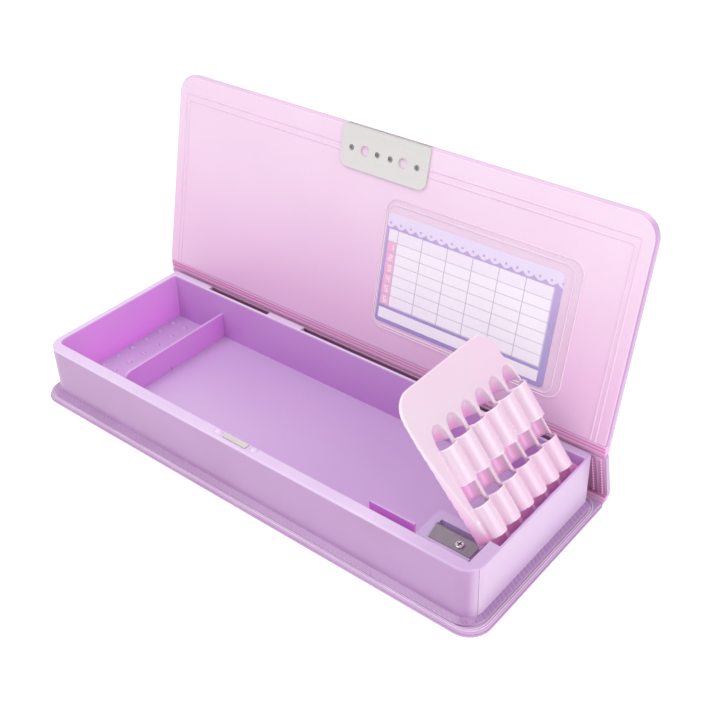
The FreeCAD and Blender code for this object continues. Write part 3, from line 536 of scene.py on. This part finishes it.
def tray_finish():
    """Lilac moulding: pale rim with a painted highlight, deeper inside walls, outer walls with painted shade
    where they face the front, and a serrated weld round the foot.
    """
    material, recipe, shader = finish("lilac_tray_plastic", {
        "Subsurface Weight": 0.12, "Subsurface Radius": (0.5, 0.25, 0.6), "Subsurface Scale": 0.004,
        "Coat Weight": 0.25, "Coat Roughness": 0.12, "Specular IOR Level": 0.5})
    x, y, z = recipe.split(recipe.place(scale=IN_MM))
    nx, _, nz = recipe.split(recipe.node("ShaderNodeNewGeometry").outputs["Normal"])
    corner = recipe.overlap(recipe.maths("GREATER_THAN", x, 112.0), recipe.maths("LESS_THAN", y, -25.0))
    inside = recipe.overlap(recipe.between(x, *TRAY_INSIDE_X), recipe.between(y, *TRAY_INSIDE_Y),
                            recipe.maths("LESS_THAN", z, TRAY_RIM_Z), recipe.maths("SUBTRACT", 1.0, corner))
    # Painted light and shade: the outer walls are paler where they face right and darker where they face the
    # front.
    outer = recipe.mix(recipe.ramp(nx, 0.55, 0.97), srgb("AC85B2"), srgb("CAB0CF"))
    body = recipe.mix(inside, outer, tray_inside_colour(recipe, x, y, z, nx, nz))
    # Painted highlight: the rim is paler than the body, less so towards the right end.
    pale = recipe.mix(recipe.ramp(x, 60.0, 117.0), srgb("DFCAE7"), srgb("C4A9CE"))
    colour = recipe.mix(recipe.ramp(z, 27.0, 28.2), body, pale)
    made = grain(recipe, shader, colour, srgb("C9A2DA"), share=0.15, patch=30.0, scale=900.0,
                 gloss=0.3, spread=0.12, height=0.00001)
    teeth = foot_weld(recipe, x, y, z, nx)
    recipe.feed(recipe.bump(teeth, 0.0004, normal=made.outputs["Normal"]), shader.inputs["Normal"])
    shade = recipe.overlap(teeth, recipe.ramp(nx, 0.1, 0.5, 0.1, 0.6))
    recipe.feed(recipe.mix(shade, made.outputs["Color"], srgb("9C78B4")), shader.inputs["Base Color"])
    return material


def card_heading(page, x, down, taken, colour):
    """The scalloped heading with a row of dots over the card's border."""
    wave = page.maths("ABSOLUTE", page.maths("SINE", page.maths("MULTIPLY", x, math.pi / SCALLOP_WIDTH)))
    hem = page.plus(page.maths("MULTIPLY", wave, 1.6), SCALLOP_DOWN)
    colour = page.mix(page.maths("LESS_THAN", down, hem), colour, taken.outputs["Heading"])
    across = page.maths("PINGPONG", page.plus(x, 44.2), SCALLOP_WIDTH / 2)
    along = page.maths("SUBTRACT", down, 35.6)
    away = page.plus(page.maths("MULTIPLY", across, across), page.maths("MULTIPLY", along, along))
    dots = page.overlap(page.maths("LESS_THAN", away, 0.3), page.maths("LESS_THAN", down, 36.6))
    return page.mix(dots, colour, taken.outputs["Dots"])


def card_numbers(page, x, down):
    """Plain numerals, one beside each period of the day."""
    bars = []
    for row, strokes in enumerate(PERIOD_NUMBERS):
        middle = DAY_ROW_FOOT + PERIOD_HEIGHT * (row + 0.5)
        for stroke in strokes:
            left, right, top, foot = STROKES[stroke]
            bars.append(page.overlap(page.between(x, NUMBERS_MIDDLE + left, NUMBERS_MIDDLE + right),
                                     page.between(down, middle + top, middle + foot)))
    return page.either(*bars)


def card_rules(page, x, down, table):
    """Thin lines between the days and, a little fainter, between the periods."""
    column = page.maths("PINGPONG", page.maths("SUBTRACT", x, NUMBERS_RIGHT), DAY_WIDTH / 2)
    columns = page.overlap(page.maths("LESS_THAN", column, 0.16), table,
                           page.maths("GREATER_THAN", x, NUMBERS_RIGHT - 0.3))
    row = page.maths("PINGPONG", page.maths("SUBTRACT", down, DAY_ROW_FOOT), PERIOD_HEIGHT / 2)
    rows = page.overlap(page.maths("LESS_THAN", row, 0.15), table,
                        page.maths("GREATER_THAN", down, DAY_ROW_FOOT - 0.4), 0.8)
    return page.either(columns, rows)


def card_finish():
    """Printed timetable: dotted, scalloped heading over a purple border and a ruled white table."""
    tree, page, taken, given = shared(
        "Timetable print",
        (("Border Top", COLOUR, srgb("AC8CD2")), ("Border Foot", COLOUR, srgb("7E57C2")),
         ("Heading", COLOUR, srgb("E6DBF3")), ("Dots", COLOUR, srgb("A88BD2")),
         ("Paper", COLOUR, srgb("FAF7FC")), ("Day Row", COLOUR, srgb("F4EFF8")),
         ("Number Column", COLOUR, srgb("F3A6D0")), ("Rules", COLOUR, srgb("A79ABF"))),
        (("Color", COLOUR), ("Ink", VALUE)),
    )
    x, up, _ = page.split(page.place(LID_TURN, LID_FOLD, IN_MM))
    down = page.maths("SUBTRACT", LID_TOP, up)
    border = page.mix(page.ramp(down, *CARD_DOWN), taken.outputs["Border Top"], taken.outputs["Border Foot"])
    colour = card_heading(page, x, down, taken, border)
    table = page.overlap(page.between(x, *TABLE_X), page.between(down, *TABLE_DOWN))
    days = page.overlap(table, page.maths("LESS_THAN", down, DAY_ROW_FOOT))
    numbers = page.overlap(page.between(x, TABLE_X[0], NUMBERS_RIGHT),
                           page.between(down, DAY_ROW_FOOT, TABLE_DOWN[1]))
    ruled = card_rules(page, x, down, table)
    strip = page.overlap(page.between(x, *TABLE_X), page.between(down, *NAME_STRIP_DOWN))
    for mask, ink in ((table, "Paper"), (days, "Day Row"), (numbers, "Number Column"),
                      (card_numbers(page, x, down), "Paper"), (ruled, "Rules"), (strip, "Paper")):
        colour = page.mix(mask, colour, taken.outputs[ink])
    page.feed(colour, given.inputs["Color"])
    page.feed(ruled, given.inputs["Ink"])

    material, recipe, shader = finish("printed_timetable", {"Specular IOR Level": 0.4})
    made = recipe.node("ShaderNodeGroup")
    made.node_tree = tree
    grained = grain(recipe, shader, made.outputs["Color"], srgb("E7DDF0"), share=0.06, scale=2500.0,
                    gloss=0.45)
    recipe.feed(recipe.bump(made.outputs["Ink"], 0.00002, normal=grained.outputs["Normal"]),
                shader.inputs["Normal"])
    return material


def liner_finish():
    """Frosted pink lining, with painted shade that deepens it towards the fold."""
    material, recipe, shader = finish("frosted_pink_lining", {
        "Subsurface Weight": 0.1, "Subsurface Radius": (0.6, 0.3, 0.5), "Subsurface Scale": 0.002,
        "Sheen Weight": 0.15, "Sheen Roughness": 0.4})
    _, up, _ = recipe.split(recipe.place(LID_TURN, LID_FOLD, IN_MM))
    # Painted shade: darker pink towards the fold.
    colour = recipe.mix(recipe.ramp(up, 5.0, 95.0), srgb("E7BDDE"), srgb("E7CFE2"))
    grain(recipe, shader, colour, srgb("E2BEDA"), share=0.25, patch=25.0, scale=2200.0, gloss=0.36,
          height=0.00003)
    return material


def hinge_finish():
    """Pink fold vinyl, with painted highlights on the crests of the ridges that run along the fold and
    painted shade between them.
    """
    material, recipe, shader = finish("pink_hinge_vinyl", {"Coat Weight": 0.2, "Coat Roughness": 0.2})
    _, _, z = recipe.split(recipe.place(scale=IN_MM))
    # Painted highlights on the ridge crests and painted shade between them.
    painted_crest_light = recipe.ramp(recipe.maths("SINE", recipe.maths("MULTIPLY", z, math.tau / 1.7)), -0.4, 0.7)
    colour = recipe.mix(painted_crest_light, srgb("D27EBE"), srgb("F3C3E7"))
    grain(recipe, shader, colour, srgb("DDA3CE"), share=0.3, patch=30.0, scale=1800.0, gloss=0.3,
          height=0.00003)
    return material


def lid_cover_finish():
    """Lilac cover vinyl, paler where it is rolled over the free edge."""
    material, recipe, shader = finish("lid_cover_vinyl", {"Coat Weight": 0.15, "Coat Roughness": 0.2})
    _, up, _ = recipe.split(recipe.place(LID_TURN, LID_FOLD, IN_MM))
    colour = recipe.mix(recipe.ramp(up, LID_TOP - 3.5, LID_TOP - 0.5), srgb("C39CC6"), srgb("E4C4E0"))
    grain(recipe, shader, colour, srgb("D2B4D6"), share=0.35, patch=20.0, scale=1800.0, gloss=0.34,
          height=0.00004)
    return material


def spine_liner_finish():
    """Mauve lining of the spine, with painted shadow that darkens it towards the lower fold."""
    material, recipe, shader = finish("mauve_spine_lining", {"Sheen Weight": 0.1, "Sheen Roughness": 0.4})
    _, up, _ = recipe.split(recipe.place(SPINE_TURN, SPINE_FOLD, IN_MM))
    # Painted shadow: darker towards the lower fold.
    colour = recipe.mix(recipe.ramp(up, 2.0, 28.0), srgb("A76D93"), srgb("C794B9"))
    grain(recipe, shader, colour, srgb("CB8FBE"), share=0.3, patch=25.0, scale=2200.0, gloss=0.34,
          height=0.00003)
    return material


def holder_finish():
    """Pale pink moulding, with painted highlights that whiten its edges and painted shade that turns it
    pinker down in the grooves, in hollow places and at the hinge end.
    """
    material, recipe, shader = finish("pale_pink_holder_plastic", {
        "Subsurface Weight": 0.2, "Subsurface Radius": (0.7, 0.4, 0.6), "Subsurface Scale": 0.003,
        "Coat Weight": 0.5, "Coat Roughness": 0.08})
    form = recipe.node("ShaderNodeNewGeometry")
    # Painted highlight on sharp edges and painted shade in hollow places, found by pointiness.
    edges = recipe.ramp(form.outputs["Pointiness"], 0.505, 0.56)
    painted_hollow_shade = recipe.ramp(form.outputs["Pointiness"], 0.495, 0.44)
    x, _, z = recipe.split(recipe.place(scale=IN_MM))
    along, above = (recipe.maths("SUBTRACT", value, pin) for value, pin in zip((x, z), HOLDER_PIN))
    depth = recipe.plus(recipe.maths("MULTIPLY", along, math.sin(HOLDER_TILT)),
                        recipe.maths("MULTIPLY", above, math.cos(HOLDER_TILT)))
    reach = recipe.maths("SUBTRACT", recipe.maths("MULTIPLY", above, math.sin(HOLDER_TILT)),
                         recipe.maths("MULTIPLY", along, math.cos(HOLDER_TILT)))
    # Painted shade: pinker towards the hinge, below the plate's face and at the hinge end.
    painted_hinge_shade = recipe.overlap(recipe.ramp(reach, 11.0, 4.0), recipe.ramp(depth, 4.0, 1.0))
    colour = recipe.mix(recipe.ramp(reach, 45.0, 10.0), srgb("DCC8D6"), srgb("DFC2D6"))
    colour = recipe.mix(recipe.ramp(depth, 0.2, -2.2), colour, srgb("F0A8DC"))
    colour = recipe.mix(painted_hinge_shade, colour, srgb("EFA2D0"))
    colour = recipe.mix(painted_hollow_shade, colour, srgb("E6AEDA"))
    colour = recipe.mix(recipe.overlap(edges, 0.7), colour, srgb("F6EAF4"))
    grain(recipe, shader, colour, srgb("E4BCDA"), share=0.2, patch=35.0, scale=700.0, gloss=0.22,
          height=0.000008)
    return material


def steel_finish(name, colour, streak, gloss, stretch=(1.0, 1.0, 60.0), share=0.35, metal=0.85):
    """Rolled steel with fine streaks."""
    material, recipe, shader = finish(name, {"Metallic": metal})
    streaks = recipe.noise(recipe.place(scale=stretch), 120.0, 3.0)
    tinted = recipe.mix(recipe.overlap(recipe.ramp(streaks, 0.3, 0.7), share), srgb(colour), srgb(streak))
    made = grain(recipe, shader, tinted, srgb(streak), share=0.1, gloss=gloss, spread=0.08, scale=3000.0,
                 height=0.000005)
    recipe.feed(recipe.bump(streaks, 0.000006, normal=made.outputs["Normal"]), shader.inputs["Normal"])
    return material


def screw_finish():
    """Bright screw head, with painted shade that darkens its cross slot."""
    low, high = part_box("sharpener_screw")
    material, recipe, shader = finish("screw_steel", {"Metallic": 0.85})
    x, y, z = recipe.split(recipe.place())
    off_x = recipe.maths("SUBTRACT", x, (low[0] + high[0]) / 2)
    off_y = recipe.maths("SUBTRACT", y, (low[1] + high[1]) / 2)
    squares = recipe.plus(recipe.maths("MULTIPLY", off_x, off_x), recipe.maths("MULTIPLY", off_y, off_y))
    near = recipe.maths("LESS_THAN", recipe.maths("SQRT", squares), 1.45 * MM)
    # Painted shade: the recessed cross slot is dark.
    slot = recipe.overlap(near, recipe.maths("LESS_THAN", z, high[2] - 0.16 * MM))
    colour = recipe.mix(slot, srgb("D8D4D4"), srgb("3B3338"))
    grain(recipe, shader, colour, srgb("B5B0B2"), share=0.3, gloss=0.18, scale=4000.0, height=0.000005)
    return material


COVER = plain_finish("lilac_cover_vinyl", "BC98C1", "CDB1D2", {"Coat Weight": 0.15, "Coat Roughness": 0.2},
                     share=0.35, patch=20.0, scale=1800.0, gloss=0.34, height=0.00004)
WELD = plain_finish("pearly_weld", "D9C0DC", "E8D8EA", {"Coat Weight": 0.3, "Coat Roughness": 0.15},
                    share=0.5, patch=60.0, scale=1200.0, gloss=0.25)
HINGE = hinge_finish()
TRAY = tray_finish()
HOLDER = holder_finish()
LINER = liner_finish()
LID_COVER = lid_cover_finish()
SPINE_LINER = spine_liner_finish()
CARD = card_finish()
FILM = plain_finish("clear_pocket_film", "F7EEF7", "EBD8EB", {"Alpha": 0.16, "Specular IOR Level": 0.8},
                    share=0.4, patch=30.0, scale=900.0, gloss=0.1, height=0.00001)
FILM_WELD = plain_finish("film_weld", "EBCDE3", "F2DDEC", share=0.5, patch=60.0, scale=1200.0, gloss=0.22)
LINER_WELD = plain_finish("lining_weld", "E6C6DF", "EBD0E5", share=0.5, patch=60.0, gloss=0.25)
PLATE = steel_finish("satin_plate_steel", "DEDDDA", "CFCDCA", 0.34, (1.0, 40.0, 40.0), 0.3, 0.55)
RIVET = steel_finish("rivet_steel", "8F8B8C", "C9C5C4", 0.2)
YOKE = steel_finish("magnet_cap_steel", "EFECE8", "CFCCCA", 0.26, metal=0.6)
FERRITE = plain_finish("dark_ferrite", "3A3638", "4A4648", share=0.4, gloss=0.6, height=0.00003)
BOARD = plain_finish("grey_board", "9C948E", "B0A8A0", share=0.5, gloss=0.8, height=0.00006)
FOAM = plain_finish("white_foam", "EFEDEA", "E2DFDA", share=0.5, gloss=0.9, height=0.00008)
SHARPENER = plain_finish("lilac_sharpener_plastic", "CDB4DC", "DAC8E8", {
    "Subsurface Weight": 0.25, "Subsurface Radius": (0.6, 0.4, 0.8), "Subsurface Scale": 0.003,
    "Coat Weight": 0.3, "Coat Roughness": 0.1},
    share=0.35, patch=120.0, scale=900.0, gloss=0.24, height=0.00001)
BLADE = steel_finish("blade_steel", "A69FA3", "857E84", 0.34, (40.0, 1.0, 1.0), 0.4)
SCREW = screw_finish()
STUDIO_FLOOR = plain_finish("pale_floor", "FBFAFB", "F7F6F8", {
    "Emission Color": (1.0, 1.0, 1.0, 1.0), "Emission Strength": 0.3},
    share=0.2, patch=3.0, scale=300.0, gloss=0.7, height=0.00001)


def wear(piece, material):
    piece.data.materials.clear()
    piece.data.materials.append(material)


def wear_outside(piece, material, y_edge):
    """Gives the faces behind y_edge, on the outside of the cover, a finish of their own."""
    work_on(piece)
    piece.data.materials.append(material)
    open_edit("FACE")
    pick_faces(piece, lambda c: c.y > y_edge)
    piece.active_material_index = 1
    bpy.ops.object.material_slot_assign()
    close_edit()


def dress(piece, material, place):
    """Gives a piece its finish and stands it on its panel."""
    wear(piece, material)
    stand(piece, place)


for node, material in (
    ("base_board", BOARD), ("spine_board", BOARD), ("lid_board", BOARD), ("tray", TRAY),
    ("magnet_yoke", YOKE), ("magnet", FERRITE), ("sharpener_body", SHARPENER), ("sharpener_blade", BLADE),
    ("sharpener_screw", SCREW), ("catch_plate", PLATE), ("plate_rivets", RIVET), ("timetable_card", CARD),
    ("spine_pad", FOAM), ("lid_pad", FOAM),
):
    wear(NODES[node], material)


# ---- Base of the cover ----

base_skin = cut_sheet("base_skin", (-COVER_END, COVER_END), (BASE_FRONT, BASE_BACK), (0.0, BASE_SKIN_TOP),
                      ((10.0, 10), (2.0, 4)), ((0.0, 0.3, 2),))
wear(base_skin, COVER)
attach(base_skin, "base")
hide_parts("base_cover")

base_margin = cut_sheet("base_margin_band", (-MARGIN_END, MARGIN_END), (MARGIN_FRONT, MARGIN_BACK),
                        (BASE_SKIN_TOP, MARGIN_TOP), ((9.5, 10), (1.6, 4)), ((MARGIN_TOP, 0.3, 2),))
wear(base_margin, COVER)
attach(base_margin, "base")
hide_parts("base_margin")

for number, inset in enumerate((0.45, 1.25), 1):
    reach = MARGIN_END - inset
    line = weld_line(f"base_weld_{number}", (-reach, reach), (MARGIN_FRONT + inset, MARGIN_BACK - inset),
                     (1.8, 2.42), 9.5 - inset, 0.5)
    wear(line, WELD)
    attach(line, "base")


# ---- Hinge strips of the cover ----

def on_panel(place, y, z):
    """A point of a panel's own frame as the (y, z) of the whole case."""
    spot = place @ Vector((0.0, y * MM, z * MM))
    return spot.y / MM, spot.z / MM


LEAF_FACE = -0.2
LEAF_END = FOLD_GAP + 0.3
SPINE_BACK = -3.4
LID_BACK = -4.2
RIDGES = 5
RIDGE_PITCH = 0.85
RIDGE_DEPTH = 0.7
FIRST_RIDGE = (43.1, 28.3)

lower_section = [
    (46.2, 1.9), (47.0, 1.75), (47.7, 1.7), (48.2, 2.1), (48.5, 2.8),
    on_panel(ON_SPINE, LEAF_END, LEAF_FACE), on_panel(ON_SPINE, LEAF_END, SPINE_BACK),
    (51.9, 3.2), (51.0, 1.6), (49.6, 0.5), (48.0, 0.1), (46.2, 0.1),
]
lower_strip = folded_strip("lower_fold_strip", FOLD_END, lower_section)
wear(lower_strip, HINGE)
wear_outside(lower_strip, COVER, 48.9)
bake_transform(lower_strip)
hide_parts("lower_hinge_base", "lower_hinge_spine")

upper_section = [on_panel(ON_SPINE, SPINE_HEIGHT - LEAF_END, LEAF_FACE)]
for ridge in range(RIDGES):
    crest_z = FIRST_RIDGE[1] + ridge * RIDGE_PITCH
    upper_section.append((FIRST_RIDGE[0], crest_z))
    upper_section.append((FIRST_RIDGE[0] - RIDGE_DEPTH, crest_z + 0.42))
upper_section += [
    on_panel(ON_LID, LEAF_END, LEAF_FACE), on_panel(ON_LID, LEAF_END, LID_BACK),
    (46.9, 30.9), (46.7, 30.2), (46.5, 29.5), (46.3, 28.9),
    on_panel(ON_SPINE, SPINE_HEIGHT - LEAF_END, SPINE_BACK),
]
upper_strip = folded_strip("upper_fold_strip", FOLD_END, upper_section)
wear(upper_strip, HINGE)
wear_outside(upper_strip, COVER, 45.5)
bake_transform(upper_strip)
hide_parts("upper_hinge_spine", "upper_hinge_lid")


# ---- Spine panel ----

def up_spine(inset):
    """The lower and upper edge of something that keeps this far from both folds."""
    return inset, SPINE_HEIGHT - inset


spine_skin = cut_sheet("spine_skin", (-COVER_END, COVER_END), up_spine(FOLD_GAP), (-3.1, -0.1),
                       ((1.2, 3), (1.2, 3)), ((-3.1, 0.9, 4),))
dress(spine_skin, COVER, ON_SPINE)
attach(spine_skin, "spine")
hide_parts("spine_cover", "spine_pad")

spine_field = pad_field("spine_pad_field", COVER_END - 5.5, up_spine(6.4), (-3.58, -2.9), 3.0)
dress(spine_field, COVER, ON_SPINE)
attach(spine_field, "spine")

spine_sheet = cut_sheet("spine_lining_sheet", (-FOLD_END, FOLD_END), up_spine(3.2), (-0.1, 0.4),
                        ((0.8, 3), (0.8, 3)), ((0.4, 0.2, 2),))
dress(spine_sheet, SPINE_LINER, ON_SPINE)
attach(spine_sheet, "spine")
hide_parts("spine_liner")

for number, (inset, material) in enumerate(((1.0, HINGE), (3.0, SPINE_LINER), (5.0, HINGE)), 1):
    reach = FOLD_END - inset
    line = weld_line(f"spine_weld_{number}", (-reach, reach), up_spine(3.5), (0.3, 0.7), 0.9, 0.7)
    dress(line, material, ON_SPINE)
    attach(line, "spine")


# ---- Lid panel ----

lid_skin = cut_sheet("lid_skin", (-COVER_END, COVER_END), (FOLD_GAP, LID_TOP), (-3.9, -0.1),
                     ((1.6, 3), (10.0, 10)), ((-3.9, 1.4, 5), (-0.1, 0.4, 2)))
dress(lid_skin, LID_COVER, ON_LID)
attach(lid_skin, "lid")
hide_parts("lid_cover", "lid_pad")

lid_field = pad_field("lid_pad_field", COVER_END - 6.0, (8.6, LID_TOP - 5.9), (-4.48, -3.6), 6.0)
dress(lid_field, LID_COVER, ON_LID)
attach(lid_field, "lid")

reach = COVER_END - 0.8
lid_sheet = cut_sheet("lid_lining_sheet", (-reach, reach), (3.2, LID_TOP - 0.8), (-0.1, 0.5),
                      ((0.8, 3), (9.2, 10)), ((0.5, 0.35, 3),))
dress(lid_sheet, LINER, ON_LID)
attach(lid_sheet, "lid")
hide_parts("lid_liner")

# Half length, height up the lid and width of each weld, both open at the fold and behind the plate
for number, (reach, top, width) in enumerate(((118.1, 88.1, 0.9), (115.9, 85.0, 0.8)), 1):
    line = weld_line(f"lid_weld_{number}", (-reach, reach), (-4.0, top), (0.4, 0.72), 1.4, width,
                     cut_y=3.4, gap=23.0)
    dress(line, LINER_WELD, ON_LID)
    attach(line, "lid")


# ---- Timetable pocket ----

film = cut_sheet("pocket_film_sheet", (4.6, 98.6), (13.5, 71.7), (0.74, 0.84),
                 ((5.8, 8), (5.8, 8)), ((0.84, 0.04, 1),))
dress(film, FILM, ON_LID)
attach(film, "lid")
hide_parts("card_pocket")

# Ends, edges and corner radius of the pocket's two welds
for number, (ends, edges, radius) in enumerate((
    ((4.4, 98.8), (13.3, 71.9), 6.0),
    ((5.3, 95.2), (14.5, 69.29), 4.5),
), 1):
    line = weld_line(f"pocket_weld_{number}", ends, edges, (0.5, 0.9), radius, 0.5)
    dress(line, FILM_WELD, ON_LID)
    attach(line, "lid")


# ---- Pencil holder: the moulding with soft edges ----

holder = bpy.data.objects.new("holder_moulding", NODES["pencil_holder"].data.copy())
bpy.context.scene.collection.objects.link(holder)
stand(holder, NODES["pencil_holder"].matrix_world.copy())
open_edit("VERT")
bpy.ops.mesh.select_all(action="SELECT")
bpy.ops.mesh.remove_doubles(threshold=1e-5)
close_edit()
for kind, settings in (
    ("REMESH", {"mode": "VOXEL", "voxel_size": HOLDER_VOXEL * MM}),
    ("SMOOTH", {"factor": 0.5, "iterations": 6}),
    ("DECIMATE", {"ratio": 0.6}),
):
    modifier = holder.modifiers.new(kind.lower(), kind)
    for key, value in settings.items():
        setattr(modifier, key, value)
    bpy.ops.object.modifier_apply(modifier=modifier.name)
smooth(holder, 60.0)
wear(holder, HOLDER)
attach(holder, "holder")
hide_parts("pencil_holder")


# ---- Floor, light and camera ----

bpy.ops.mesh.primitive_plane_add(size=12.0)
floor = bpy.context.object
floor.name = "studio_floor"
wear(floor, STUDIO_FLOOR)

world = bpy.data.worlds.new("soft_studio")
bpy.context.scene.world = world
world.use_nodes = True
sky = world.node_tree.nodes["Background"]
sky.inputs["Color"].default_value = (1.0, 0.99, 1.0, 1.0)
sky.inputs["Strength"].default_value = 0.66


def softbox(name, energy, size, place, target=(0.0, 0.0, 0.03)):
    """A square lamp that faces the case."""
    light = bpy.data.lights.new(name, "AREA")
    light.energy = energy
    light.size = size
    lamp = bpy.data.objects.new(name, light)
    bpy.context.scene.collection.objects.link(lamp)
    lamp.location = place
    lamp.rotation_euler = (Vector(target) - Vector(place)).to_track_quat("-Z", "Y").to_euler()


softbox("key_softbox", 5.0, 0.7, (-0.3, -0.35, 1.0))
softbox("fill_softbox", 4.0, 0.8, (0.85, -0.1, 0.6))

azimuth, elevation, roll = (math.radians(angle) for angle in (40.42, 35.12, -2.05))
back = Vector((math.sin(azimuth) * math.cos(elevation), -math.cos(azimuth) * math.cos(elevation),
               math.sin(elevation)))
across = Vector((math.cos(azimuth), math.sin(azimuth), 0.0))
upright = back.cross(across)
tilted = across * math.cos(roll) + upright * math.sin(roll)
raised = upright * math.cos(roll) - across * math.sin(roll)
lens = bpy.data.cameras.new("camera")
lens.lens = 57.27
lens.sensor_width = 36.0
camera = bpy.data.objects.new("camera", lens)
bpy.context.scene.collection.objects.link(camera)
facing = Matrix((tilted, raised, back)).transposed()
camera.matrix_world = Matrix.Translation((0.26705, -0.27522, 0.31746)) @ facing.to_4x4()
bpy.context.scene.camera = camera
bpy.context.scene.view_settings.view_transform = "Standard"
